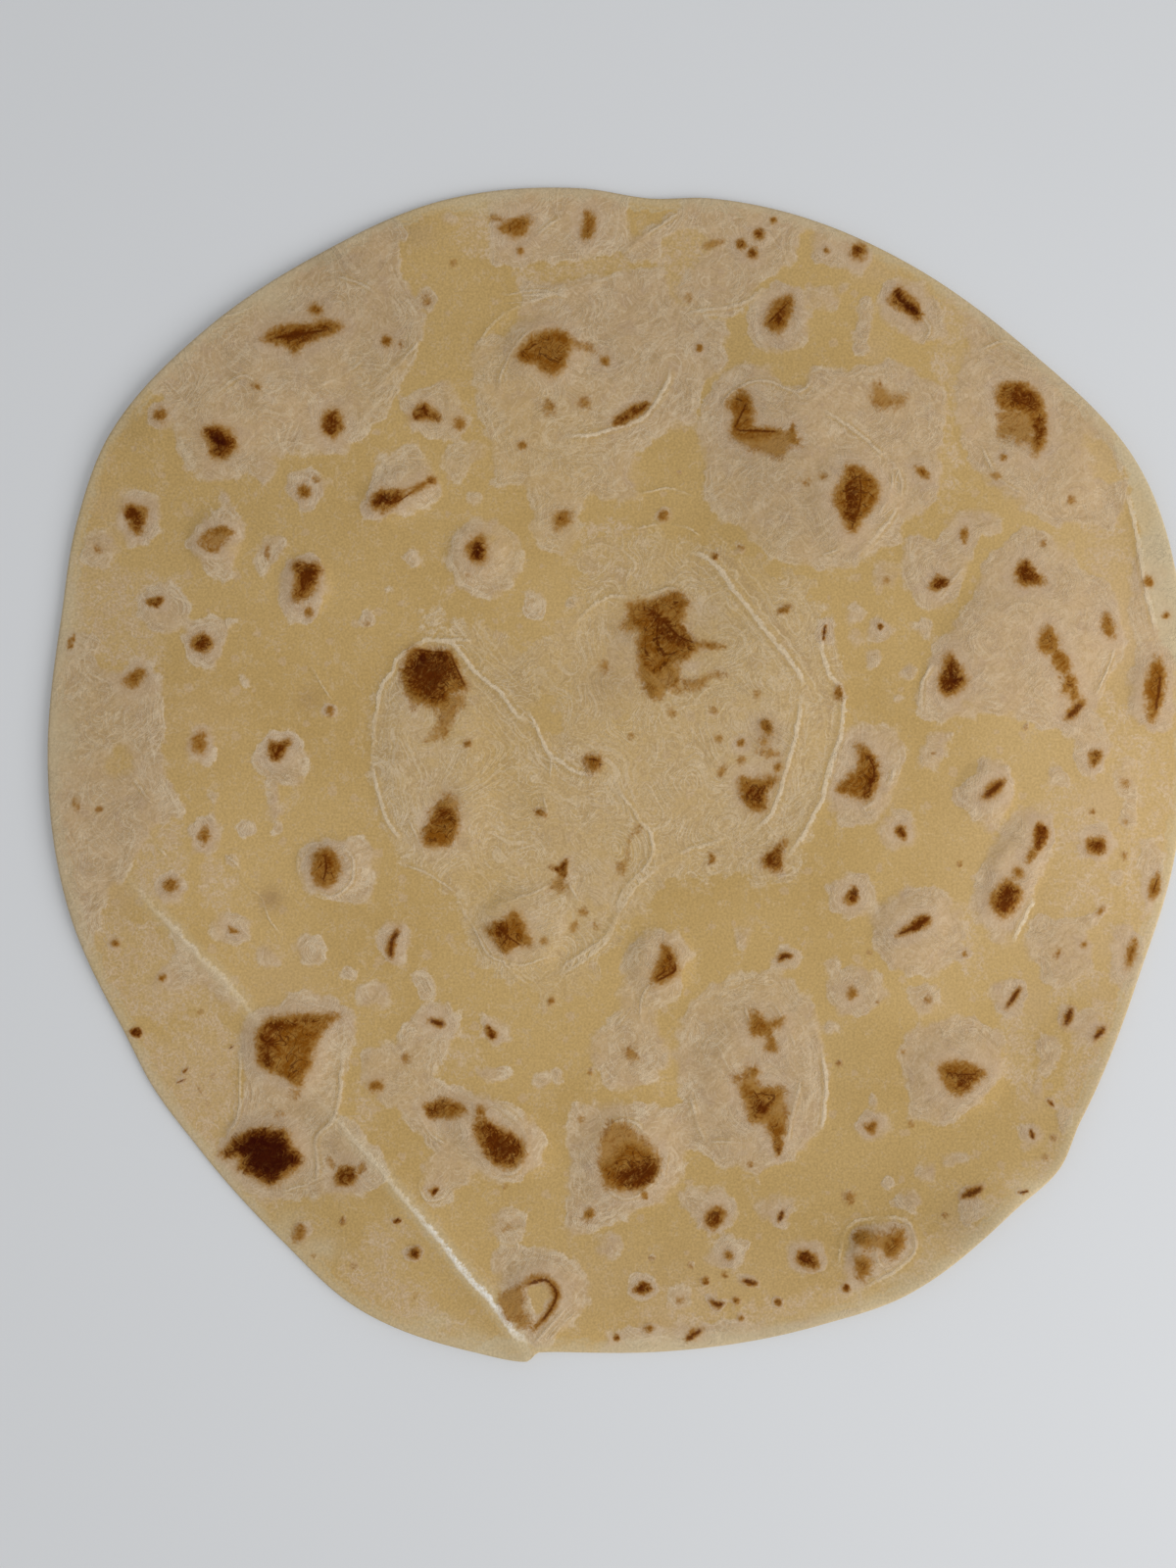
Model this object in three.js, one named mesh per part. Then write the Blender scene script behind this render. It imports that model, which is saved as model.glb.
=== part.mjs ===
// A flour tortilla lying flat: one thin, uneven round of griddled wheat dough.
// It is one solid. Its dough puffed into pockets and blisters on the griddle and sank again,
// its rim lifts off the table here and there, and an old fold crosses it at the lower left.
// Units are millimetres, +Z is up. The origin is the middle of the outline, on the table.
import * as THREE from 'three';
import { mergeVertices } from 'three/addons/utils/BufferGeometryUtils.js';

// --- driving dimensions -----------------------------------------------------------------

const DOUGH_THICKNESS = 1.5;
const RIM_ROUNDING = 0.8; // how far the edge of the top and underside is drawn in

// How finely the round is divided: spokes all round, and rings on the top and the underside.
const EVEN_SPOKES = 124;
const TOP_RINGS = 25;
const FLAT_RINGS = 3; // on the underside, where it lies on the table
const LIFTED_RINGS = 5; // on the underside, from there out to the rim
const RIM_CROWDING = 0.25; // how much closer together the top rings get at the rim

// The outline: the distance from the middle to the rim, each at its angle from +X, anticlockwise.
const RIM_RADII = [
  [0, 123.6], [15, 126.8], [31, 130.9], [46, 128.4], [60, 127.8], [72, 127.5], [81, 126.8],
  [87, 125.5], [94, 127.9], [107, 130.5], [120, 130.2], [133, 131.4], [146, 132.7], [155, 129.8],
  [165, 125.7], [178, 124.1], [195, 123.1], [207, 121.6], [214, 122.5], [222, 122.9],
  [234, 125.6], [244, 129.6], [256, 129.7], [261, 129.4], [262.2, 127.1], [275, 126.5],
  [290, 127.7], [299, 129.2], [312, 127.5], [318, 128.1], [323, 125.2], [338, 121.6],
  [350, 122.5],
];

// Where the rim stands clear of the table.
const RIM_LIFTS = [
  { angle: 24, spread: 16, height: 2.2 },
  { angle: 72, spread: 14, height: 0.7 },
  { angle: 136, spread: 26, height: 1.9 },
  { angle: 186, spread: 20, height: 1.4 },
  { angle: 252, spread: 12, height: 1.2 },
  { angle: 312, spread: 24, height: 2.6 },
];
const LIFT_START = 0.8; // share of the radius inside which the dough lies flat

// Sunken pockets and blisters that still stand proud, from the largest to the smallest.
const POCKETS = [
  { at: [14, 22], across: [82, 88], turn: 0, height: 1.3 },
  { at: [88, 27], across: [46, 36], turn: 10, height: 1.2 },
  { at: [-40, 2], across: [30, 56], turn: 8, height: 1.2 },
  { at: [-76, 90], across: [58, 34], turn: 40, height: 1.0 },
  { at: [30, -68], across: [34, 42], turn: 0, height: 1.3 },
  { at: [93, 66], across: [32, 22], turn: -20, height: 1.0 },
  { at: [2, -84], across: [26, 28], turn: 0, height: 1.3 },
  { at: [-72, -60], across: [24, 24], turn: 20, height: 1.1 },
  { at: [-77, -82], across: [24, 18], turn: 0, height: 1.4 },
  { at: [-26, -79], across: [30, 18], turn: -25, height: 1.3 },
  { at: [-21, -34], across: [24, 20], turn: 0, height: 1.2 },
  { at: [74, -65], across: [24, 22], turn: 0, height: 1.0 },
  { at: [86, -21], across: [14, 30], turn: -25, height: 1.0 },
  { at: [64, -34], across: [19, 19], turn: 0, height: 0.9 },
  { at: [9, -41], across: [17, 19], turn: 0, height: 1.0 },
  { at: [51, 60], across: [24, 26], turn: 0, height: 1.0 },
  { at: [-48, 61], across: [22, 13], turn: 20, height: 0.9 },
  { at: [-16, 92], across: [22, 18], turn: 0, height: 1.0 },
  { at: [-62, -20], across: [17, 15], turn: 0, height: 0.9 },
  { at: [80, -4], across: [15, 16], turn: 0, height: 0.8 },
  { at: [56, -103], across: [16, 13], turn: 15, height: 1.3 },
  { at: [-17, -113], across: [20, 20], turn: 0, height: 1.0 },
  { at: [-68, 41], across: [13, 16], turn: 0, height: 0.8 },
  { at: [-31, 48], across: [16, 15], turn: 0, height: 0.8 },
  { at: [-88, 51], across: [14, 16], turn: 0, height: 0.8 },
  { at: [116, 18], across: [11, 20], turn: 0, height: 0.8 },
];

// The old fold: it runs from the left rim to a small tear in the lower rim.
const FOLD_POINTS = [[-115, -14], [-87, -45], [-63, -75], [-41, -100], [-18.5, -127]];
const FOLD_RIDGE_HEIGHT = 0.7;
const FOLD_RIDGE_WIDTH = 7;
const FOLD_FADE_IN = 0.35; // the share of its length over which the ridge rises
const FLAP_LIFT = 0.6; // the piece outside the fold stands this much higher at the tear
const TEAR_SIDES = [261, 262.2]; // the directions of the tear's two sides

const MATERIAL = { color: 0xb89664, roughness: 0.62, metalness: 0 };

// --- small helpers ----------------------------------------------------------------------

const FULL_TURN = 360;
const radians = THREE.MathUtils.degToRad;

// 0 below the start, 1 above the end, and a smooth rise between them.
function ease(value, start, end) {
  return THREE.MathUtils.smoothstep(value, start, end);
}

// How far apart two directions are, in degrees, the short way round.
function angleBetween(a, b) {
  const apart = Math.abs(a - b) % FULL_TURN;
  return Math.min(apart, FULL_TURN - apart);
}

// --- the outline ------------------------------------------------------------------------

// A rim station by number, counting on past the last one into the next turn.
function rimStation(number) {
  const count = RIM_RADII.length;
  const turns = Math.floor(number / count);
  const [angle, radius] = RIM_RADII[number - turns * count];
  return { angle: angle + turns * FULL_TURN, radius };
}

// The rim radius at any angle, on a smooth cubic through the stations.
function rimRadius(angle) {
  const turned = THREE.MathUtils.euclideanModulo(angle, FULL_TURN);
  const next = RIM_RADII.findIndex((station) => station[0] > turned);
  const index = next === -1 ? RIM_RADII.length : next;
  const [before, from, to, after] = [-2, -1, 0, 1].map((step) => rimStation(index + step));
  const span = to.angle - from.angle;
  const t = (turned - from.angle) / span;
  const slopeFrom = ((to.radius - before.radius) / (to.angle - before.angle)) * span;
  const slopeTo = ((after.radius - from.radius) / (after.angle - from.angle)) * span;
  return (2 * t ** 3 - 3 * t ** 2 + 1) * from.radius + (t ** 3 - 2 * t ** 2 + t) * slopeFrom
    + (3 * t ** 2 - 2 * t ** 3) * to.radius + (t ** 3 - t ** 2) * slopeTo;
}

// --- heights ----------------------------------------------------------------------------

// The gap between the underside and the table, growing from the flat middle to the rim.
function liftAt(angle, share) {
  const rise = Math.max(0, (share - LIFT_START) / (1 - LIFT_START)) ** 2;
  let height = 0;
  for (const lift of RIM_LIFTS) {
    height += lift.height * Math.exp(-((angleBetween(angle, lift.angle) / lift.spread) ** 2));
  }
  return height * rise;
}

// A pocket is a low plateau with sloping sides inside its ellipse.
function pocketHeight(pocket, x, y) {
  const turn = radians(pocket.turn);
  const dx = x - pocket.at[0];
  const dy = y - pocket.at[1];
  const along = (dx * Math.cos(turn) + dy * Math.sin(turn)) / (pocket.across[0] / 2);
  const aside = (dy * Math.cos(turn) - dx * Math.sin(turn)) / (pocket.across[1] / 2);
  return pocket.height * (1 - ease(Math.hypot(along, aside), 0.45, 1));
}

// How far a point lies from the fold line (positive outside it) and how far along it.
const foldLine = FOLD_POINTS.map(([x, y]) => new THREE.Vector2(x, y));
const foldParts = foldLine.slice(1).map((end, index) => ({ start: foldLine[index], end }));

function foldPosition(x, y) {
  const point = new THREE.Vector2(x, y);
  let nearest = { distance: Infinity, along: 0, side: 0 };
  foldParts.forEach(({ start, end }, index) => {
    const direction = end.clone().sub(start);
    const reach = point.clone().sub(start);
    const t = THREE.MathUtils.clamp(reach.dot(direction) / direction.lengthSq(), 0, 1);
    const distance = point.distanceTo(start.clone().addScaledVector(direction, t));
    if (distance < nearest.distance) {
      const side = Math.sign(reach.cross(direction));
      nearest = { distance, along: (index + t) / foldParts.length, side };
    }
  });
  return nearest;
}

// The crumpled ridge of the fold, and the step where the outer flap rides up at the tear.
function foldHeight(x, y) {
  const { distance, along, side } = foldPosition(x, y);
  const strength = ease(along, 0, FOLD_FADE_IN);
  const ridge = FOLD_RIDGE_HEIGHT * strength * Math.exp(-((2 * distance / FOLD_RIDGE_WIDTH) ** 2));
  const nearTear = ease(along, 0.7, 1) * Math.exp(-distance / FOLD_RIDGE_WIDTH);
  return ridge + (side > 0 ? FLAP_LIFT * nearTear : 0);
}

// --- the solid --------------------------------------------------------------------------

// Places one point of the round. Level is 0 on the underside, 1 on top and between at the edge.
function placeOnTortilla(angle, share, level) {
  const roundness = 1 - Math.sqrt(1 - (2 * level - 1) ** 2);
  const radius = share * (rimRadius(angle) - RIM_ROUNDING * roundness);
  const x = radius * Math.cos(radians(angle));
  const y = radius * Math.sin(radians(angle));
  const fadeAtRim = 1 - ease(share, 0.9, 1);
  const relief = POCKETS.reduce((total, pocket) => total + pocketHeight(pocket, x, y), 0);
  const thickness = DOUGH_THICKNESS + relief * fadeAtRim + foldHeight(x, y);
  return [x, y, liftAt(angle, share) + level * thickness];
}

// The profile from the middle of the underside, out round the edge, to the middle of the top.
// Its points hold a share of the radius and a level.
function profilePoints() {
  const points = [];
  for (let ring = 0; ring < FLAT_RINGS; ring += 1) {
    points.push(new THREE.Vector2((LIFT_START * ring) / FLAT_RINGS, 0));
  }
  for (let ring = 0; ring <= LIFTED_RINGS; ring += 1) {
    points.push(new THREE.Vector2(LIFT_START + ((1 - LIFT_START) * ring) / LIFTED_RINGS, 0));
  }
  points.push(new THREE.Vector2(1, 0.5));
  for (let ring = TOP_RINGS; ring >= 0; ring -= 1) {
    const even = ring / TOP_RINGS;
    points.push(new THREE.Vector2(even * (1 + RIM_CROWDING * (1 - even)), 1));
  }
  return points;
}

// Even spokes all round, with one more on each side of the tear so that its step stays sharp.
function spokeAngles() {
  const angles = Array.from({ length: EVEN_SPOKES }, (_, i) => (FULL_TURN * i) / EVEN_SPOKES);
  return [...angles, ...TEAR_SIDES].sort((a, b) => a - b);
}

function tortillaGeometry() {
  const profile = profilePoints();
  const angles = spokeAngles();
  const turned = new THREE.LatheGeometry(profile, angles.length);
  const place = turned.attributes.position;
  for (let i = 0; i < place.count; i += 1) {
    const angle = angles[Math.floor(i / profile.length) % angles.length];
    const { x: share, y: level } = profile[i % profile.length];
    place.setXYZ(i, ...placeOnTortilla(angle, share, level));
  }
  const geometry = closeSeams(turned);
  centreOutline(geometry);
  geometry.computeVertexNormals();
  return geometry;
}

// Joins the last spoke to the first and each middle into one point, without empty faces.
function closeSeams(turned) {
  turned.deleteAttribute('normal');
  turned.deleteAttribute('uv');
  const geometry = mergeVertices(turned);
  const corners = Array.from(geometry.index.array);
  const faces = [];
  for (let i = 0; i < corners.length; i += 3) {
    const face = corners.slice(i, i + 3);
    if (new Set(face).size === 3) {
      faces.push(...face);
    }
  }
  geometry.setIndex(faces);
  return geometry;
}

// Slides the round sideways until the middle of its outline is on the origin.
function centreOutline(geometry) {
  geometry.computeBoundingBox();
  const middle = geometry.boundingBox.getCenter(new THREE.Vector3());
  geometry.translate(-middle.x, -middle.y, 0);
}

const tortilla = new THREE.Mesh(tortillaGeometry(), new THREE.MeshStandardMaterial(MATERIAL));
tortilla.name = 'tortilla';

const model = new THREE.Group();
model.add(tortilla);
export default model;
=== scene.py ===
# %% [markdown]
# # A flour tortilla
#
# The thing itself is one thin round of wheat dough, about 25 cm across, rolled out and griddled
# on both sides. It is never flat: steam lifts the skin into pockets, the pockets sink again when it
# cools, and each one leaves a paler, finely crumpled patch with a toasted spot on its crown.
# One closed mesh carries the shape, and one material, steered by a few values stored on the
# mesh's points, carries the browning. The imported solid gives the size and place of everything.

import math

import bpy
import numpy as np
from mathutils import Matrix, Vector


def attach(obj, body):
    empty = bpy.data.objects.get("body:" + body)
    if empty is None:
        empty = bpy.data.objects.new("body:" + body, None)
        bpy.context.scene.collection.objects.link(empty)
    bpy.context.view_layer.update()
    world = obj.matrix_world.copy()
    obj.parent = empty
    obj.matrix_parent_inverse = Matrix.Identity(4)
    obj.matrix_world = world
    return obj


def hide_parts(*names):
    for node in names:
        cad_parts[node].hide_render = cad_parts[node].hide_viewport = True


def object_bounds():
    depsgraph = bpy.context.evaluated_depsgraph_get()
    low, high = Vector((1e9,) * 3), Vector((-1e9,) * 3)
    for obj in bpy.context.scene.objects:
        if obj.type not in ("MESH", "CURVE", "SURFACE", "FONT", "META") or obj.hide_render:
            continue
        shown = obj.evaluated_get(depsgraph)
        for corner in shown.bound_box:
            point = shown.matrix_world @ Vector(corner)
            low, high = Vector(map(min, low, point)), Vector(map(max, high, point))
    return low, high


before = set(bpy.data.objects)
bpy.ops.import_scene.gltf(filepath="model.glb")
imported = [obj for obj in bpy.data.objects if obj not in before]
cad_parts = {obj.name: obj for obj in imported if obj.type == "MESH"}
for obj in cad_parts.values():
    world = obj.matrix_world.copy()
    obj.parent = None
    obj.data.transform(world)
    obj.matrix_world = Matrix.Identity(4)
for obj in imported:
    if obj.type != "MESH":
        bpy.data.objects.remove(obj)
CAD_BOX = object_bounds()
print("solid's box, m:", [[round(value, 4) for value in corner] for corner in CAD_BOX])

# %% [markdown]
# ## The outline and the heights
#
# The main form is the same as the solid's, so that both have one outline and one set of pockets.
# It could be sculpted over the solid, but then the two would drift apart. So it is written again as
# functions of the place on the round, this time for whole arrays of points at once. All sizes are
# in millimetres, and angles are in degrees from +X, anticlockwise.

# %% Named sizes, in millimetres
DOUGH_THICKNESS = 1.5
RIM_ROUNDING = 0.8
LIFT_START = 0.8        # share of the radius inside which the dough lies flat
POCKET_FLAT = 0.45      # share of a pocket's reach inside which it is level

RIM_RADII = [
    (0, 123.6), (15, 126.8), (31, 130.9), (46, 128.4), (60, 127.8), (72, 127.5), (81, 126.8),
    (87, 125.5), (94, 127.9), (107, 130.5), (120, 130.2), (133, 131.4), (146, 132.7), (155, 129.8),
    (165, 125.7), (178, 124.1), (195, 123.1), (207, 121.6), (214, 122.5), (222, 122.9),
    (234, 125.6), (244, 129.6), (256, 129.7), (261, 129.4), (262.2, 127.1), (275, 126.5),
    (290, 127.7), (299, 129.2), (312, 127.5), (318, 128.1), (323, 125.2), (338, 121.6),
    (350, 122.5),
]

# angle, spread, height of each place where the rim stands clear of the table
RIM_LIFTS = [(24, 16, 2.2), (72, 14, 0.7), (136, 26, 1.9), (186, 20, 1.4), (252, 12, 1.2),
             (312, 24, 2.6)]

# x, y, width, depth, turn, height of each pocket
POCKETS = [
    (14, 22, 82, 88, 0, 1.3), (88, 27, 46, 36, 10, 1.2), (-40, 2, 30, 56, 8, 1.2),
    (-76, 90, 58, 34, 40, 1.0), (30, -68, 34, 42, 0, 1.3), (93, 66, 32, 22, -20, 1.0),
    (2, -84, 26, 28, 0, 1.3), (-72, -60, 24, 24, 20, 1.1), (-77, -82, 24, 18, 0, 1.4),
    (-26, -79, 30, 18, -25, 1.3), (-21, -34, 24, 20, 0, 1.2), (74, -65, 24, 22, 0, 1.0),
    (86, -21, 14, 30, -25, 1.0), (64, -34, 19, 19, 0, 0.9), (9, -41, 17, 19, 0, 1.0),
    (51, 60, 24, 26, 0, 1.0), (-48, 61, 22, 13, 20, 0.9), (-16, 92, 22, 18, 0, 1.0),
    (-62, -20, 17, 15, 0, 0.9), (80, -4, 15, 16, 0, 0.8), (56, -103, 16, 13, 15, 1.3),
    (-17, -113, 20, 20, 0, 1.0), (-68, 41, 13, 16, 0, 0.8), (-31, 48, 16, 15, 0, 0.8),
    (-88, 51, 14, 16, 0, 0.8), (116, 18, 11, 20, 0, 0.8),
]

# the old fold, from the left rim to the small tear in the lower rim
FOLD_POINTS = [(-115, -14), (-87, -45), (-63, -75), (-41, -100), (-18.5, -127)]
FOLD_RIDGE_HEIGHT = 0.7
FOLD_RIDGE_WIDTH = 7
FOLD_FADE_IN = 0.35     # share of the fold's length over which its ridge rises
FLAP_START = 0.7        # share of its length from which the piece outside it stands higher
FLAP_LIFT = 0.6
print(len(RIM_RADII), "rim stations,", len(POCKETS), "pockets")

# %% The rim radius at any angle, on a smooth curve through the stations
def ease(value, start, end):
    t = np.clip((value - start) / (end - start), 0, 1)
    return t * t * (3 - 2 * t)


def rim_radius(angle):
    stations = np.array(RIM_RADII, float)
    turns = np.concatenate([stations + [turn, 0] for turn in (-360, 0, 360)])
    turned = np.mod(angle, 360)
    index = np.searchsorted(turns[:, 0], turned, side="right")
    before, start, end, after = (turns[index + step] for step in (-2, -1, 0, 1))
    span = end[..., 0] - start[..., 0]
    t = (turned - start[..., 0]) / span
    slope_in = (end[..., 1] - before[..., 1]) / (end[..., 0] - before[..., 0]) * span
    slope_out = (after[..., 1] - start[..., 1]) / (after[..., 0] - start[..., 0]) * span
    return ((2 * t**3 - 3 * t**2 + 1) * start[..., 1] + (t**3 - 2 * t**2 + t) * slope_in
            + (3 * t**2 - 2 * t**3) * end[..., 1] + (t**3 - t**2) * slope_out)


print("radius at 0, 90, 180, 270 degrees:", rim_radius(np.array([0, 90, 180, 270])).round(1))

# %% Heights of the main form: rim lifts, pockets, and the distance along and across a line
def lift_at(angle, share):
    rise = np.clip((share - LIFT_START) / (1 - LIFT_START), 0, None) ** 2
    height = 0
    for middle, spread, top in RIM_LIFTS:
        apart = np.abs(np.mod(angle - middle + 180, 360) - 180)
        height = height + top * np.exp(-((apart / spread) ** 2))
    return height * rise


def pocket_relief(x, y):
    height = 0
    for at_x, at_y, width, depth, turn, top in POCKETS:
        c, s = math.cos(math.radians(turn)), math.sin(math.radians(turn))
        along = ((x - at_x) * c + (y - at_y) * s) / (width / 2)
        aside = ((y - at_y) * c - (x - at_x) * s) / (depth / 2)
        height = height + top * (1 - ease(np.hypot(along, aside), POCKET_FLAT, 1))
    return height


def line_position(line, x, y):
    """How far each point is from the line, how far along it (0 to 1), and on which side."""
    line = np.asarray(line, float)
    distance = np.full(x.shape, np.inf)
    along, side = np.zeros(x.shape), np.zeros(x.shape)
    for index, (start, end) in enumerate(zip(line[:-1], line[1:])):
        way = end - start
        rx, ry = x - start[0], y - start[1]
        t = np.clip((rx * way[0] + ry * way[1]) / (way @ way), 0, 1)
        here = np.hypot(rx - t * way[0], ry - t * way[1])
        near = here < distance
        distance = np.where(near, here, distance)
        along = np.where(near, (index + t) / (len(line) - 1), along)
        side = np.where(near, np.sign(rx * way[1] - ry * way[0]), side)
    return distance, along, side


def fold_relief(x, y):
    distance, along, side = line_position(FOLD_POINTS, x, y)
    strength = ease(along, 0, FOLD_FADE_IN)
    ridge = FOLD_RIDGE_HEIGHT * strength * np.exp(-((2 * distance / FOLD_RIDGE_WIDTH) ** 2))
    near_tear = ease(along, FLAP_START, 1) * np.exp(-distance / FOLD_RIDGE_WIDTH)
    return ridge + np.where(side > 0, FLAP_LIFT * near_tear, 0)


print("relief in the middle of the big pocket, mm:", float(pocket_relief(14.0, 22.0)))

# %% [markdown]
# ## A grid over the round
#
# Rings and spokes would crowd the middle and starve the rim. A square grid, with each of its
# squares rounded into a ring, keeps the faces nearly the same size everywhere. The top is fine,
# because its relief is seen up close; the underside has half as many steps, and the two are
# joined by a rounded edge whose last row has a point for every step of both.

# %% The rounded square grid
TOP_STEPS = 264
UNDER_STEPS = TOP_STEPS // 2


def round_grid(steps):
    """Share of the radius and angle of every point of a square grid rounded into rings."""
    line = np.arange(-(steps // 2), steps // 2 + 1) / (steps // 2)
    a, b = np.meshgrid(line, line, indexing="ij")
    share = np.maximum(np.abs(a), np.abs(b))
    safe = np.where(share == 0, 1, share)
    wide = np.abs(a) >= np.abs(b)
    from_x = np.where(a > 0, 0, 180) + 45 * b / np.where(wide & (a != 0), a, safe)
    from_y = np.where(b > 0, 90, 270) - 45 * a / np.where(~wide & (b != 0), b, safe)
    return share.ravel(), np.mod(np.where(wide, from_x, from_y), 360).ravel()


def grid_triangles(steps):
    """Two triangles a cell, split from the inner to the outer corner. Seen from above, anticlockwise."""
    size = steps + 1
    i, j = np.meshgrid(np.arange(steps), np.arange(steps), indexing="ij")
    i, j = i.ravel(), j.ravel()
    p00, p10, p11, p01 = i * size + j, (i + 1) * size + j, (i + 1) * size + j + 1, i * size + j + 1
    outward = ((i < steps // 2) == (j < steps // 2))[:, None]
    first = np.where(outward, np.stack([p00, p10, p11], 1), np.stack([p00, p10, p01], 1))
    second = np.where(outward, np.stack([p00, p11, p01], 1), np.stack([p10, p11, p01], 1))
    return np.concatenate([first, second])


def grid_border(steps):
    """The border points of the grid in order of angle."""
    size = steps + 1
    number = np.arange(size * size).reshape(size, size)
    right, top = number[-1, :], number[::-1, -1]
    left, bottom = number[0, ::-1], number[:, 0]
    ring = np.concatenate([right[:-1], top[:-1], left[:-1], bottom[:-1]])
    return np.roll(ring, -(steps // 2))


top_share, top_angle = round_grid(TOP_STEPS)
top_faces = grid_triangles(TOP_STEPS)
border = grid_border(TOP_STEPS)
print(len(top_share), "points on top,", len(border), "round the rim,",
      "first angles", top_angle[border[:3]].round(2))

# %% The rounded edge: rows that go from the top's border round to the underside
EDGE_STEPS = 6
edge_levels = [(1 + math.cos(math.pi * step / EDGE_STEPS)) / 2 for step in range(1, EDGE_STEPS + 1)]
ring_size = len(border)
edge_share = np.ones(EDGE_STEPS * ring_size)
edge_angle = np.tile(top_angle[border], EDGE_STEPS)
edge_level = np.repeat(edge_levels, ring_size)
edge_row = np.repeat(np.arange(1, EDGE_STEPS + 1), ring_size)

edge_rows = [border] + [len(top_share) + step * ring_size + np.arange(ring_size)
                        for step in range(EDGE_STEPS)]
edge_faces = []
for upper, lower in zip(edge_rows[:-1], edge_rows[1:]):
    upper_next, lower_next = np.roll(upper, -1), np.roll(lower, -1)
    edge_faces += [np.stack([upper, lower, lower_next], 1), np.stack([upper, lower_next, upper_next], 1)]
edge_faces = np.concatenate(edge_faces)
print(len(edge_faces), "triangles round the edge, levels", [round(level, 2) for level in edge_levels])

# %% The underside, stitched to the edge's last row two steps to one
under_share, under_angle = round_grid(UNDER_STEPS)
under_border = grid_border(UNDER_STEPS)
last_row = edge_rows[-1]
points_above = len(top_share) + len(edge_share)
inner = np.setdiff1d(np.arange(len(under_share)), under_border)
numbers = np.zeros(len(under_share), int)
numbers[inner] = points_above + np.arange(len(inner))
numbers[under_border] = last_row[::2]
between = {frozenset((last_row[k], last_row[(k + 2) % ring_size])): last_row[k + 1]
           for k in range(0, ring_size, 2)}

under_faces = []
for a, b, c in numbers[grid_triangles(UNDER_STEPS)][:, ::-1].tolist():
    for p, q, r in ((a, b, c), (b, c, a), (c, a, b)):
        middle = between.get(frozenset((p, q)))
        if middle is not None:
            under_faces += [(p, middle, r), (middle, q, r)]
            break
    else:
        under_faces.append((a, b, c))
under_faces = np.array(under_faces)
faces = np.concatenate([top_faces, edge_faces, under_faces])
print(len(faces), "triangles in all")

# %% Place every point on the main form
share = np.concatenate([top_share, edge_share, under_share[inner]])
angle = np.concatenate([top_angle, edge_angle, under_angle[inner]])
level = np.concatenate([np.ones(len(top_share)), edge_level, np.zeros(len(inner))])
on_underside = np.arange(len(share)) >= points_above
above = ~on_underside
roundness = 1 - np.sqrt(1 - (2 * level - 1) ** 2)
radius = share * (rim_radius(angle) - RIM_ROUNDING * roundness)
x = radius * np.cos(np.radians(angle))
y = radius * np.sin(np.radians(angle))
rim_distance = (1 - share) * rim_radius(angle)
print("outline, mm:", round(float(np.ptp(x)), 1), "x", round(float(np.ptp(y)), 1))

# %% [markdown]
# ## Where the griddle toasted it
#
# Each toasted mark sits where a bubble touched the hot plate. The big ones are ragged brown
# islands with nearly black creases, the small ones are stars, commas and dots, and the palest are
# only a caramel blush. They could be painted on a picture, but its edges would blur up close. So
# they are written as closed outlines, thick strokes and round spots. A row is a run of x, y pairs
# in millimetres; a stroke starts with its half width, and a spot is x, y, radius. The rows are
# measured from a point 1.4 mm left of the round's middle.

# %% Dark outlines
ROWS_FROM = (-1.4, 0.0)

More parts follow.
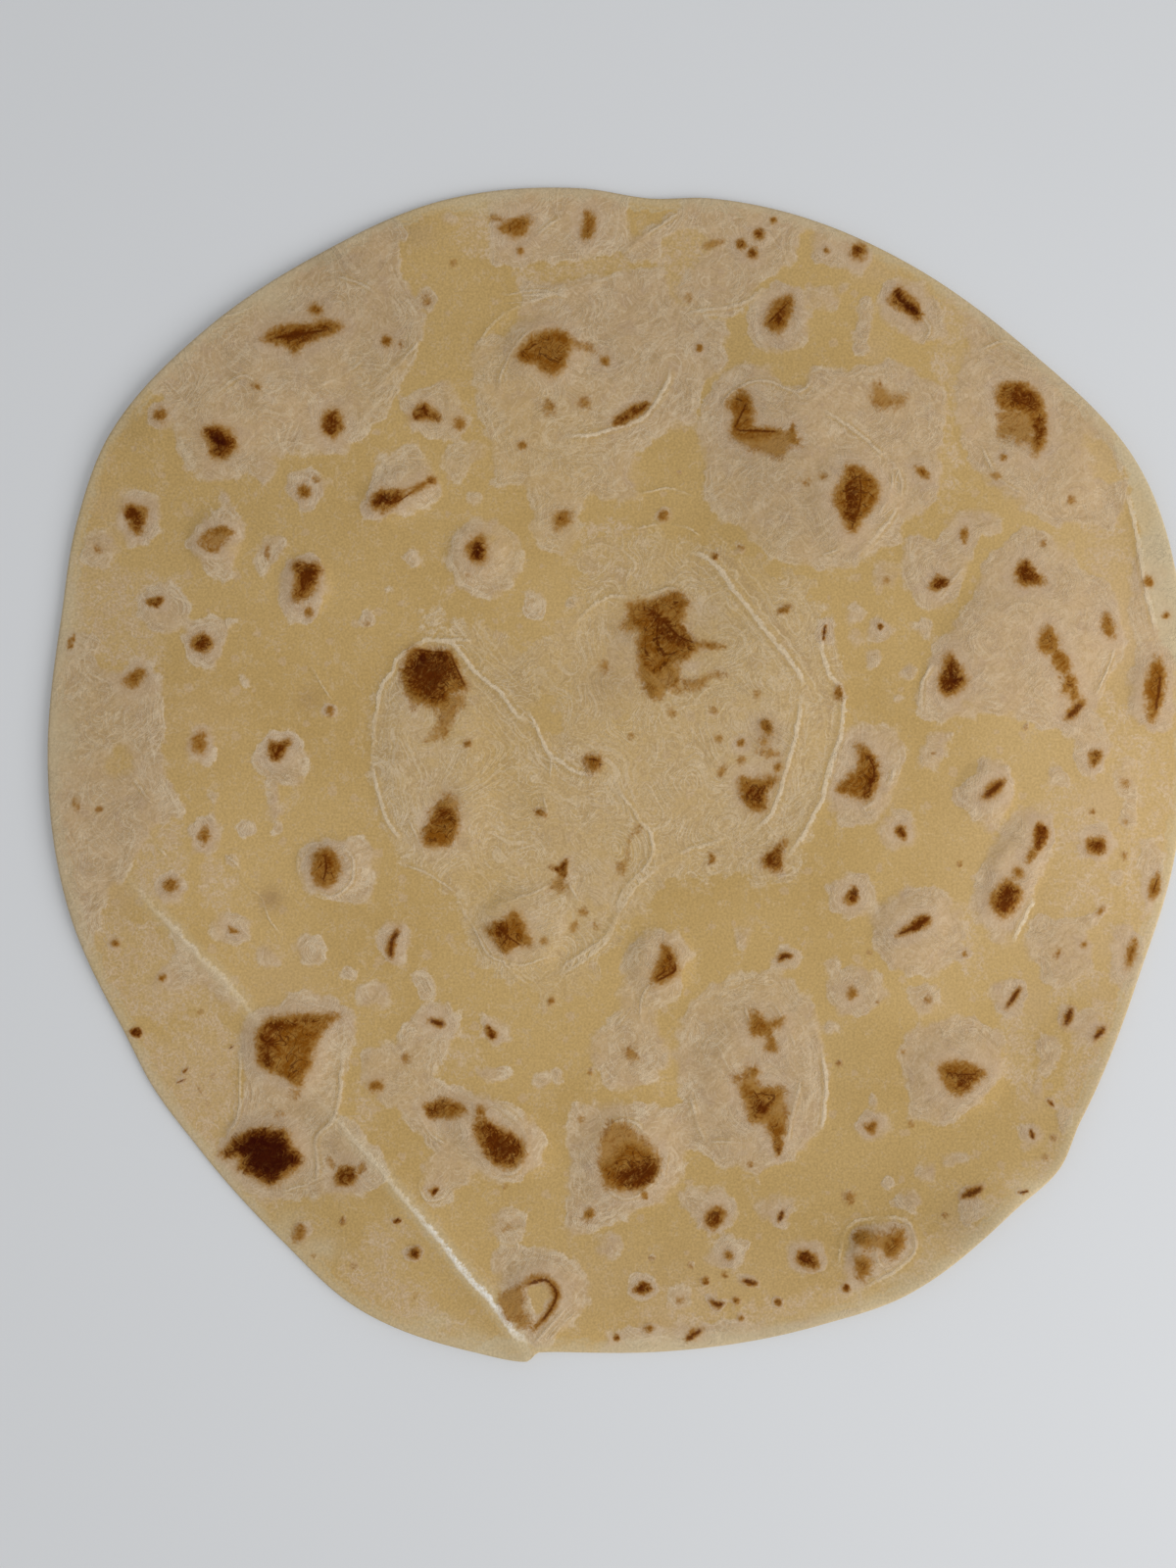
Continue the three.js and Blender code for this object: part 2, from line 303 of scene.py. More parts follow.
DARK_OUTLINES = [
    # upper left
    (-88.5, 74, -86.5, 75.3, -83.5, 74.5, -81.7, 71.5, -83.5, 69.5, -86.5, 68.3, -87.5, 71),
    (-63, 78, -60, 79, -58.8, 75.5, -60.5, 73.3, -62.5, 74.5),
    (-75, 93.8, -71, 95.6, -65, 96.5, -60.5, 96.9, -62, 95.2, -66, 93.6, -71, 92.9),
    (-43.8, 77.8, -41.4, 80.4, -39.6, 79.6, -37.4, 77, -40.4, 77, -43, 77.2),
    (-105.6, 57.8, -101.6, 57.2, -101.4, 54.8, -103, 52, -104.8, 54),
    (-69, 45.6, -63.5, 45, -64, 41.5, -66, 38.6, -69.2, 37.8, -68.7, 42),
    (-52.6, 58.6, -49.5, 61.4, -45.5, 60.6, -47, 58, -50, 56.8),
    (-30.6, 50.4, -28.6, 51.4, -27.3, 48.5, -28.2, 45.8, -30.4, 46, -31.4, 48.5),
    (-101.6, 37.3, -98.4, 38.4, -97.7, 37.6, -99, 36.2),
    (-91.8, 28.2, -89.6, 30.2, -87.3, 29, -87, 27.6, -89, 26.3),
    (-74.6, 6.8, -72.8, 6.6, -70.2, 7.1, -71.8, 4.4, -73, 2.8, -74.6, 3.9),
    (-43.6, 26.7, -39.5, 26.6, -35.3, 26.2, -33.2, 22, -32.2, 19, -33.6, 18.2, -34.8, 19.4, -35.8, 17.4,
     -36.8, 15.4, -40, 15.6, -42.6, 17.4, -45.2, 19.4, -45.4, 23.4),
    # upper right
    (0, 76.3, 2, 75.8, 7.8, 79.5, 6.5, 80.8, 3, 79),
    (35.4, 99.4, 37.4, 102, 38, 100, 36.4, 97.2),
    (60.3, 103.5, 62, 105.5, 64.5, 104, 67, 101, 66.8, 98.3, 64, 100, 61, 102),
    (84.3, 82.7, 86, 84.2, 90, 83.8, 92.6, 81.4, 93.9, 76, 92.8, 71.5, 91.4, 70.8, 91.6, 75, 90.2, 78.6,
     86.5, 80.4),
    (51.5, 66.5, 54, 63, 54, 58, 52.3, 52.5, 50.3, 56, 49.8, 61),
    (6, 37, 9, 36.4, 12.6, 34, 15, 31.2, 17.6, 28.6, 15, 26.6, 12.6, 27.8, 9.8, 28.8, 8.6, 31.4, 7, 33.4),
    (69.2, 40.8, 70.6, 43, 71.6, 42.5, 73.4, 41.8, 71.5, 40.2, 70, 39.6),
    (90, 46.5, 92, 44, 93.8, 41.6, 91, 41, 88.2, 41.3, 88.2, 44),
    (73, 25.8, 74.8, 24, 76.2, 21, 77, 20, 75.2, 18, 73.2, 16.8, 71, 19, 71.6, 22),
    (104, 4.6, 106.4, 4.4, 105, 1.6, 104, 2.2),
    (57.6, 32.3, 59, 32.2, 58.3, 30.9),
    # below the middle
    (-62, -17.2, -60.8, -19, -60.8, -21.4, -62.4, -23, -63.6, -20.6),
    (-37, -6.8, -33.6, -9, -36, -10.3, -39.8, -11.5, -38.6, -8.6),
    (-13.5, -20.4, -11.6, -20.3, -9.8, -18.6, -9.9, -21, -10.2, -22.8, -11.8, -21.6),
    (-26.4, -33.8, -23.8, -32.4, -22.6, -34.4, -24, -36.6, -25.6, -35.6),
    (29.4, -2.4, 32, -2.4, 34.4, -2.4, 33.2, -4.6, 32.2, -6.6, 30.4, -6.6, 29.2, -4.6),
    (54.4, 5.4, 56.4, 4.2, 57.8, 1.5, 57.8, -1.5, 56, -5.4, 53.4, -5.3, 55.2, -2, 55.4, 1.5),
    (37.6, -14.8, 36.8, -18, 36.8, -21, 34.8, -21.2, 32.6, -19.5, 34.8, -17),
    (62, -11.8, 63.6, -11.5, 63.8, -14.4, 61.6, -13),
    (53.2, -24.8, 53.2, -28, 50.6, -28.2, 51.2, -26),
    (12.2, -38.3, 13.4, -40, 13.9, -43, 11.8, -44.2, 10.4, -44.4, 11.8, -42.4, 11.6, -40),
    (92.5, -11.2, 94.8, -12, 94.2, -15, 92, -17, 91.2, -15),
    (86, -23.3, 88.4, -25.3, 88.2, -28.3, 85.5, -31, 82.8, -29.8, 82.4, -27, 84, -24.5),
    (104, -14.2, 107, -14.4, 106.9, -17, 103.8, -17.3, 103.2, -15.8),
    (72, -64.4, 75, -64.1, 80.3, -64.9, 78, -67.2, 75, -69, 73.6, -67, 72, -66),
    (61.6, -35.3, 64.5, -34.8, 67.6, -33.5, 69, -31.4, 67, -30.9, 64.3, -32.7, 62.6, -34.2),
    # lower left
    (-105, -56.3, -103.4, -55.4, -102.3, -56.3, -103.2, -57.4),
    (-76.6, -62.6, -76.4, -56, -74.5, -53.6, -70, -53, -63, -52.8, -66, -54.6, -70.5, -55.6, -72.2, -58,
     -72, -61.6, -74, -63.4),
    (-59.8, -89, -59.6, -86.4, -57.5, -85.5, -55.8, -87, -56.6, -89.2),
    (-41, -72.4, -38.5, -71.6, -36.2, -70.8, -36, -73, -39.2, -75),
    (-29.8, -76.4, -27.8, -75, -24, -77.2, -20.5, -79, -19, -81, -19.8, -84.4, -23.2, -85.4, -26, -84,
     -28.4, -81),
    (-40, -90.4, -37.6, -90.1, -38.8, -91.9),
    (-27, -54.8, -25, -57, -26.2, -58, -27.5, -56.5),
    (-47.8, -97.4, -46.4, -96.7, -45.8, -97.3, -47, -98),
    # lower right
    (1.8, -84.6, 5, -83.4, 9.3, -83, 9.5, -87, 5, -90.3, 1, -89.4, 0, -87),
    (31, -70, 34.5, -71.5, 33.5, -74.5, 30.5, -73.5),
    (34.8, -79.8, 37, -79.8, 36, -83.3),
    (20.4, -96.6, 22, -94.7, 24.3, -95, 23.6, -98, 21.8, -99.2, 20.6, -98.2),
    (40, -105.2, 42, -103.8, 44, -105, 44.6, -107.6, 41.5, -107.2),
    (4.6, -112.6, 6.6, -110.8, 8.8, -112.2, 7.2, -113.2),
]

# the marks that are burnt nearly black
BLACK_OUTLINES = [
    (-85, -83.2, -81.6, -79, -76.5, -77.2, -71, -77.6, -69.5, -80, -67.6, -84, -69.3, -86.3, -73.8, -89.4,
     -77.5, -87.8, -80.8, -86, -81.2, -83.6),
    (61, 103.8, 62.3, 105, 64.7, 103.4, 66.6, 101, 66.4, 98.8, 63.6, 100.6),
    (73.4, 24.8, 75.2, 22.8, 76.4, 20.6, 74.8, 18.4, 73, 17.8, 72, 20.4),
    (-51.8, 58.8, -49.5, 60.6, -47.2, 60.4, -48.4, 58.4, -50.2, 57.4),
    (-30.2, 50.2, -28.4, 50.6, -27.8, 47.6, -29.2, 46.2, -30.8, 47.8),
    (-88, 73.4, -86, 74.2, -83.6, 73, -83.2, 71, -85.4, 69.4, -87.2, 70.6),
    (-43.2, 26.2, -39.5, 25.8, -35.8, 25.6, -36, 24.4, -39.4, 23.8, -42.4, 21.4, -43.8, 23),
]
print(len(DARK_OUTLINES), "dark and", len(BLACK_OUTLINES), "black outlines")

# %% Brown and caramel outlines
BROWN_OUTLINES = [
    (-62.4, -15.9, -60, -17.5, -58.8, -20.5, -60, -23.6, -62.8, -25, -65, -22.5, -64.8, -18.5),
    (-27.6, -33.6, -24, -31.8, -20.8, -29.8, -19, -33, -17.2, -37.4, -20, -37.5, -23.4, -39, -26, -36),
    (33, 98, 35.5, 102.5, 39, 103.8, 39, 99.5, 36.5, 95.5, 34, 96.5),
    (-75.6, 93.8, -73, 96.4, -66, 97.5, -60, 98, -58.4, 96.4, -62, 94.6, -66.5, 92.8, -68.4, 90.6,
     -71, 92.2),
    (-106.5, 20.1, -104, 22, -102.6, 23, -101.5, 21.4, -103.2, 19, -104.5, 18.6),
    (-90.2, 9, -88.6, 8.2, -88.9, 5, -89.5, 4.5, -92, 5.6),
    (-43.8, 27.2, -39.5, 27, -35.2, 26.6, -33.2, 22.5, -31.4, 18.2, -34.6, 16.8, -36.6, 14, -41, 14.8,
     -45.4, 18.5, -45.6, 23),
    (-12.8, 54.2, -12.2, 56.8, -9, 57, -9.4, 54.8, -11.5, 53),
    (-23.5, 120, -18, 121, -18.5, 118, -21, 116.5, -24.5, 118),
    (-6, 122, -4, 121.5, -3.8, 118, -5.5, 115.8, -6.5, 117),
    (-21, 91, -19, 93.5, -16, 95.5, -11, 96.3, -9, 94, -9.5, 90, -11.5, 87, -14, 86.3, -16.5, 88.5,
     -20, 89),
    (24.9, 80.2, 26.4, 82.5, 29.6, 82.7, 30.8, 79, 30.8, 75.8, 34, 75, 37, 74.4, 35, 73, 31, 72,
     26.4, 72.8, 25.6, 75.4, 26.6, 78),
    (38.3, 73, 39.3, 76, 40.4, 72.4, 39.4, 71.6),
    (83.3, 83, 85, 84.8, 90, 84.5, 93, 82, 94.4, 76, 93.5, 71, 91.6, 68.4, 90.8, 71, 91.2, 74, 90, 77.4,
     87, 78.6, 84.6, 79),
    (51.5, 67, 57, 63.8, 57.8, 59.5, 55.3, 56, 52, 52, 49.8, 55.5, 47.8, 60, 49.5, 63.5),
    (4, 36.8, 8, 37.2, 13, 39.4, 16.8, 37, 15.2, 33.2, 17.6, 28.8, 20, 28.2, 17.2, 25.3, 12.8, 23.2,
     10.4, 20.6, 7, 21.6, 5.6, 24, 5.4, 30.5, 3.8, 32),
    (6.8, 20, 8.6, 20.6, 10.4, 18.4, 9, 16.2, 7.2, 17.6),
    (49, 19.2, 50.4, 17.2, 49.3, 15.8, 48.3, 16.6),
    (31.8, 10.8, 33.5, 11.5, 35, 9.5, 33.8, 8),
    (-6, 3.6, -2.6, 3.6, -2.6, 1.5, -4.2, -0.2, -5.8, 1),
    (-36.8, -6.3, -33.2, -8.8, -33.6, -13, -36, -16, -40.8, -15.5, -40.8, -12, -38.8, -8.5),
    (27.8, -1, 32, -1.2, 36.3, -0.8, 33.8, -4.5, 33.4, -8, 30, -8, 28, -5.5),
    (94, 32, 96, 30.5, 96.8, 28, 94.8, 25.8, 92.5, 26.8, 92.3, 29),
    (52, -46.2, 53.3, -48, 52, -49.4, 51, -48.5),
    (30, -52.5, 31.5, -51.5, 33.5, -54, 37, -52.8, 36.5, -55, 34.5, -56, 35.8, -60, 33.5, -60,
     33.2, -56.8, 30, -56.8),
    (105.2, -31.2, 105.6, -30, 107, -28.8, 107.2, -29.8, 105.8, -31),
    (-77.2, -59, -76, -54.4, -72, -52.6, -59.6, -52.5, -62.8, -56, -64.8, -61, -66.2, -65.4, -68, -68,
     -71.5, -65.8, -75.8, -63.8),
    (11, -37, 13.2, -38.4, 14.3, -43, 12.4, -44.8, 9, -46, 8.5, -43.6, 10.2, -40),
    (70.8, -63.3, 73, -62.5, 77, -62.7, 80.7, -64.8, 79, -67.4, 75.3, -69.9, 72.6, -68.7, 71.4, -66),
    (53.2, 6.2, 56.6, 4.4, 58, 1.5, 57.8, -2, 55.6, -5.9, 52, -5, 48.8, -3.8, 50.6, -1.4, 53, 0.6,
     53.4, 3),
    (53, -99.7, 55.8, -99.5, 55.6, -102, 53.2, -101.9),
    (58.2, -102.8, 60, -99.9, 62.8, -99.2, 62, -103.6, 60, -104.6, 58.4, -104.3),
    (52.9, -105.4, 55.6, -105, 55.5, -108.4, 53.6, -109.5, 52.7, -108),
    (-53, -67.6, -50.2, -66.8, -49.8, -68.4, -52, -69.2),
    (-68.6, -98.2, -66.4, -99.4, -67.8, -101.8, -69.6, -101.6),
    (-37, -71, -33.5, -71.5, -31.5, -73, -34, -74.8, -38, -74.6),
    (-2.6, -85, 0, -83.4, 2.4, -80.2, 4.4, -79.8, 6.4, -81, 9, -81.8, 9.8, -84.6, 9, -88, 4.8, -90.5,
     -1, -90, -2.4, -87.5),
    (28, -66.5, 31, -68, 36.8, -68.2, 36.2, -71, 34.5, -73, 33.2, -75, 29.8, -74.8, 30, -71.5, 28, -69.5),
    (34, -74, 37.4, -74.5, 36.8, -79, 34, -78.5),
    (54.8, -76.8, 57.5, -75.8, 57.3, -78, 56.5, -78.6),
]

CARAMEL_OUTLINES = [
    (84, 79, 90.6, 79, 91.6, 71.6, 89, 70.8, 86, 72.2, 84.8, 75.4),
    (-24.6, -113.5, -21, -110.8, -18.6, -112.6, -18.8, -116, -16.6, -120, -21, -119.8, -24.4, -117.2),
    (-3.2, -82, -2.4, -77, 0.4, -75.2, 4, -76.4, 8, -80, 9.4, -83, 4, -84, 0, -85.4, -2.6, -86.6),
    (53, -98.8, 58, -99, 63.2, -98.6, 62.8, -103.6, 60.4, -105.4, 58, -103.6, 53.6, -103),
    (52.4, -104.5, 56, -104.6, 55.8, -109, 53.4, -110),
    (-90, 50, -88, 52, -86, 53.4, -82, 52.4, -83.6, 50, -84.4, 48.4, -86, 47.8, -88, 48.8),
    (27, -66.5, 28.6, -63.6, 31, -63.6, 32.4, -67.6, 36.6, -67.8, 38.2, -71, 37.8, -76, 34, -76.5,
     29.6, -75.6, 28, -71),
    (-39.2, -7, -36, -4.2, -33, -6, -34, -9, -38.6, -10),
    (56.5, 84.5, 58.5, 85.5, 60.5, 83, 64.5, 82.5, 63.5, 80, 58.5, 79, 56.5, 81),
    (-39.4, 17.4, -38.4, 13, -38.2, 10.4, -40.6, 7.2, -36.2, 7.6, -34.6, 10.4, -33.6, 13, -31.6, 15.2,
     -34, 17.6),
    (-45.4, 19.4, -43.4, 13.6, -41.6, 14.6, -39.6, 16.6),
    (3, 37, 6, 37.2, 6, 31, 1.2, 31.2, 2.8, 34),
    (5.6, 25, 13.6, 24, 15, 20.6, 12.6, 17.8, 9, 15.4, 6.2, 17.8),
    (13.6, 20.6, 17, 20.8, 19.6, 21.2, 22, 22.2, 24.6, 21.2, 21.6, 20, 19, 17.8, 15.6, 18.2, 13, 17.8),
    (25.8, 74, 30, 75, 37.6, 74.8, 39.3, 76.4, 41, 72.6, 43, 70.8, 39.2, 71, 37.8, 69.4, 36.2, 68.2,
     32.8, 69.4, 29.6, 70.4, 25.8, 72.4),
    (-11.5, -22, -10, -23, -9.8, -25.8, -14.5, -25.6),
    (1, -19.5, 3.6, -18.8, 2.8, -21.5, 1.8, -22.8, 0.6, -21),
    (96, 26.2, 98.5, 24, 99, 22, 96.6, 20, 97, 23),
    (-4.2, -93.8, -4.4, -96.5, -4.6, -98.2, -6.6, -97.2, -6, -95.5),
]
print(len(BROWN_OUTLINES), "brown and", len(CARAMEL_OUTLINES), "caramel outlines")

# %% Strokes: half width, then the points along the middle
DARK_SLITS = [
    (0.3, -43.3, 26.7, -41, 24.4, -39.4, 22.8), (0.4, -43.2, 26.9, -39, 26.4, -35.6, 26.2),
    (0.45, -35.3, 26, -33.6, 22.2, -31.8, 18.4), (0.4, 29.4, 81, 27.8, 77.6, 26.5, 74.8),
    (0.4, 26.5, 74.6, 31, 74.5, 36.5, 74.3), (0.4, 46.4, 32.2, 46, 30.4, 45.8, 28.8),
    (0.4, -5.8, 2.9, -4.2, 3, -2.6, 2.5), (0.3, -2.8, 2.9, -2.7, 1.2),
    (1.2, 98.8, 12, 100.4, 13.4, 102.2, 15.4), (0.9, -46.6, -34, -48, -37, -48.2, -40.4),
    (0.9, -39.8, -53.6, -38, -54.3, -36.4, -54.8), (0.5, 61.6, -35.1, 65, -33.6, 69, -31.2),
    (0.8, 36.2, -40.6, 37.4, -39.8, 39.2, -39.9), (1.3, 84.9, -1.7, 82.7, -3.6, 80.6, -5.4),
    (0.7, 88.9, -46.6, 87.2, -49, 85.8, -51.2), (1.0, 99.8, -51, 98.4, -55),
    (0.8, 106.8, -55, 104.4, -57.7), (0.7, 37.2, -95.2, 36.2, -97.6), (0.8, 28.4, -110.4, 31.4, -111),
    (0.8, 21.4, -114.6, 22.8, -115.6, 24.2, -115.4), (0.9, 16, -123.2, 17.8, -122, 19.6, -120.9),
    (0.5, 90.7, -77.3, 91.2, -79.3), (0.4, 94.5, -70.8, 95.6, -72.2),
    (0.9, 75.6, -91.8, 77.8, -91, 80.2, -89.8), (0.4, 87.6, -90.6, 89.8, -90.2),
    (0.6, -19.6, -111.2, -17, -110.3, -14.8, -109.8, -13.2, -110.8, -12.1, -112.8, -12.7, -115,
     -14.4, -117.8, -16.8, -120.4),
    (0.4, 13.4, -40.5, 13.4, -43, 9, -45.2), (0.45, 8.6, -85.4, 6.4, -87.4, 5.2, -90.2),
    (0.35, 6.5, 36.6, 11, 33, 14.4, 29.6, 18.6, 28), (0.3, 10.4, 34.4, 9.6, 29, 11.6, 24.6),
    (0.35, 53.6, 64.6, 53.9, 60, 53, 55.6), (0.35, 33.6, 97.6, 38.4, 102.4),
    (0.5, -74, 93.9, -68, 94.9, -61, 96.1), (0.3, 86, 81.6, 89.4, 80.4, 92.4, 78.6),
    (0.3, -25.6, -32.4, -22.8, -35.2, -19.4, -37.6), (0.3, -23, -31.6, -22.8, -35.4, -24.6, -38),
    (0.22, 30.4, -68.4, 31.6, -70.4), (0.6, 118.8, 21.8, 118.4, 17, 117.6, 13),
    (0.25, 118.6, -22.8, 117.4, -26.4), (0.4, -62.4, -17, -62, -20.4, -62.8, -24),
    (0.35, 72.6, 24, 73.4, 21, 72.4, 18.4), (0.3, 73.4, 21, 75.8, 18.8), (0.3, 74, -65.4, 79.4, -65.2),
    (0.25, -69, 44.4, -66.4, 41.6, -68.4, 38.8), (0.25, -94.6, -67.3, -93, -66.7),
    (0.25, -93.4, -65.2, -92.4, -64.3), (0.2, -83.4, -59.9, -82.4, -59.4),
    (0.25, -51, 59.4, -47.4, 58.6, -43, 61.2), (0.3, 55.6, 3.8, 57, 0.6, 55.8, -3.6),
]

BROWN_STROKES = [
    (0.8, 66, 66.4, 67.6, 65.4, 69, 64.2), (0.7, 76.9, 53.8, 76.6, 52, 76.9, 50.2),
    (0.5, 12, 23, 14, 20.6, 12.4, 18.4, 10.4, 19), (1.5, 95.4, 27.4, 97.6, 23.4, 98.4, 21.6),
    (1.3, 98, 22, 99.2, 19.6, 98, 17.6), (1.0, 99.6, 18.6, 101, 15.4),
    (1.2, 107.2, 34.4, 107.8, 31.6, 108.6, 29.6), (0.8, -88.4, -12, -88.9, -15.6),
    (0.8, -20.2, -111.4, -17, -109.4, -14, -109.8, -12.1, -112.8, -12.7, -115.2, -14.4, -117.8,
     -17, -120.8),
    (0.7, -89.4, 49.8, -87.6, 52, -84.6, 52.8, -82.6, 52), (0.5, -89.8, 49.8, -87.3, 48.4, -85.4, 48.2),
    (1.0, 113.5, -36.3, 112, -42.3), (0.9, -2.6, 90.6, -0.8, 89),
    (0.8, -45.5, 60.5, -42, 61.8, -39.4, 63.8), (0.6, -116.8, 30, -117.4, 28.6, -117.8, 26.8),
    (0.7, 17, 27.9, 20.5, 27.6, 24, 27.3), (0.9, 36.2, 34.9, 38.4, 36),
    (0.5, -83.6, -33.2, -82.8, -34.2, -80.8, -34.8), (2.0, 118.2, 24.6, 117.8, 19, 117.2, 12),
    (0.7, -16.6, -8, -14.6, -9.2), (0.7, -13, -49, -13.5, -50.3),
    (0.6, 21.2, -17.4, 21.8, -18.6, 21.2, -20), (0.9, 92.5, -15, 90, -19.3),
    (1.1, 118.8, -22, 117.2, -27.2), (1.0, 30.5, -66, 31, -63.8), (1.0, 35, -76, 36, -80),
    (0.7, 7, -120.9, 9.2, -120.4), (0.9, 99.8, 18.8, 101, 16),
]

CARAMEL_STROKES = [
    (1.0, -10, 93.6, -6, 92.7, -3, 91.3), (0.8, -73.2, -74.2, -70.8, -73.8),
    (0.5, -90.2, -68, -89.3, -69.8), (0.5, 16, 19.6, 18.5, 20.4, 21, 20.6, 22.5, 21),
    (0.5, 12, 18.4, 15, 17.6), (0.8, 82, 64.9, 84.2, 64.3), (0.8, -23.5, 120, -27, 121.5),
    (0.9, 31, 5, 36.5, 4), (0.8, 24.5, 2, 23.2, -0.8), (0.6, -116.8, -5.6, -115.8, -8.4),
    (0.8, -7.2, -29.8, -5.6, -30.4), (0.9, -8, -32.2, -8.8, -34.4), (0.5, 3.2, -19, 3.4, -15.5, 4.8, -12),
    (0.6, 96.8, -37.8, 97.3, -39, 96, -40.4), (0.8, 69, -48.4, 68.2, -50.2),
    (1.0, -62, -83.2, -60.5, -86), (0.9, -54, -84.6, -55, -87), (0.9, -44.6, -61, -45.4, -63.3),
    (0.8, -58.3, -96.8, -59, -98.2), (0.6, -23.8, -99.4, -22.4, -98.7, -21.2, -99),
    (0.8, -7.2, -74.6, -6.3, -76.3), (0.6, 71.6, -95.9, 73, -95.6), (0.8, 19.5, 114.5, 24.5, 115.8),
    (0.6, -75, 50, -75, 46),
]
print(len(DARK_SLITS) + len(BROWN_STROKES) + len(CARAMEL_STROKES), "strokes")

# %% Spots: x, y, radius
DARK_SPOTS = [
    (-98, 77.5, 0.6), (53.5, 113.5, 1.5), (31, -5, 1.2), (-43, -104.3, 1.2), (28, 115, 1.0),
    (30.5, 113, 1.0), (31.8, 117, 1.0), (22.2, 47, 0.7), (20.2, -110.5, 0.8), (27, -114.8, 0.7),
    (36, -115, 0.8), (50.8, -111.8, 0.8), (7, -91.7, 0.6), (46.5, 113.5, 0.6), (1, -122.8, 0.6),
    (28, -118.5, 0.6), (-39.3, 63.6, 0.8), (-108, -37, 0.7),
]

BROWN_SPOTS = [
    (-98, 77.5, 1.4), (116, 41.4, 1.1), (-88.8, -13.6, 1.3), (-31.4, 6.4, 0.9), (-5, -95.8, 1.0),
    (-64.3, 100.3, 1.5), (-33.3, 76, 1.3), (-19.5, 71.5, 1.0), (84.8, 68.5, 0.8), (11.2, 56, 1.1),
    (-66, 35, 0.9), (-61.5, 13.5, 1.0), (-96, -24.5, 1.5), (-97.8, -44.5, 0.8), (36, 1.5, 0.9),
    (28, 6.5, 0.8), (88, -21.6, 1.3), (-28.6, -73.2, 1.1), (28, 48.7, 0.7), (120, 34.2, 0.7),
    (53.8, -101, 1.2), (-20, 113.5, 0.9), (35, 120, 0.7), (19, 92.5, 0.8), (-67, 61.3, 1.4),
    (-49, 94, 1.2), (102.8, -37.3, 0.7), (76.8, -39.4, 0.6), (25.2, -105, 1.0),
]

CARAMEL_SPOTS = [
    (-13.5, 79.5, 1.7), (-6, 80.5, 1.5), (-40.3, 103, 1.1), (16.5, 103.5, 1.0), (14.5, 65.5, 0.7),
    (-111.5, 48.5, 1.1), (-1.8, 23, 1.2), (99.5, 59.2, 0.9), (5.5, -12.2, 1.0), (27, -66, 1.4),
    (51.6, -92.3, 1.4), (4, -61, 1.7), (-68.7, -70, 1.3), (86, 75, 2.5), (42.3, 63, 0.9),
    (45.5, 64.5, 0.9), (33, 7, 1.5), (28, 2.8, 1.0), (22, 13.5, 0.9), (23, 7.5, 0.9), (13, 13, 1.0),
    (31.5, 17, 0.8), (90, 10, 0.7), (93.8, 50.2, 0.7), (-14.8, -36.3, 0.9), (-3.5, -33.3, 0.9),
    (-89.7, -52, 0.7), (-64.5, 64, 0.9), (-77, 84, 1.2), (56, -39, 0.7), (57.8, -50, 0.7),
    (111.5, -2, 1.3), (111.8, -10.7, 0.8), (111.5, -18, 0.8), (104.5, -8.5, 0.8), (75.5, -19.8, 0.7),
    (65, -76.5, 0.8), (49.5, -63, 0.8), (63.5, -61, 0.7), (15, -114.7, 0.9), (17.2, -107.3, 0.8),
    (8.5, -105.5, 0.8), (24.5, -109, 0.8), (30, -85, 0.8), (93.5, -83, 0.8), (95.5, -79, 0.8),
    (-34.5, 111, 0.9), (-46, 93.5, 0.8), (59.5, 42, 0.8), (-111.5, -8, 1.0), (-56.3, -107.3, 0.4),
    (-65, -105, 0.4), (-43, -113.6, 0.4), (-53.3, 32.5, 0.7), (-88, -72, 0.6), (-87, -66, 0.6),
    (4, 8, 0.8), (-31.3, 42.8, 0.6), (-4.8, -65, 0.7), (-23.5, -90, 0.7), (70, 4.3, 0.6),
]

# a soft warm blush with no edge: x, y, radius
BLUSHES = [
    (-74, -27.6, 3.4), (-74.6, -27.2, 2.2), (-66, 16, 3.0), (-36, -4, 2.6), (33, 7, 4.5), (-1, 20, 6.0),
    (2, 31, 4.5),
]
print(len(DARK_SPOTS) + len(BROWN_SPOTS) + len(CARAMEL_SPOTS), "spots")

# %% [markdown]
# ## The pale pockets
#
# Between the marks the dough is waxy and yellow, where starch set clear against the griddle.
# Where the skin parted from the crumb it is paler, greyer and finely crumpled. These patches have a
# crisp edge, so they are stored as a distance to the edge, not as a colour: the distance stays
# exact between the mesh's points, and the material cuts it as sharply as it likes. A few waxy
# islands are cut out of them again, and a thinner film lies over the sunken middle.

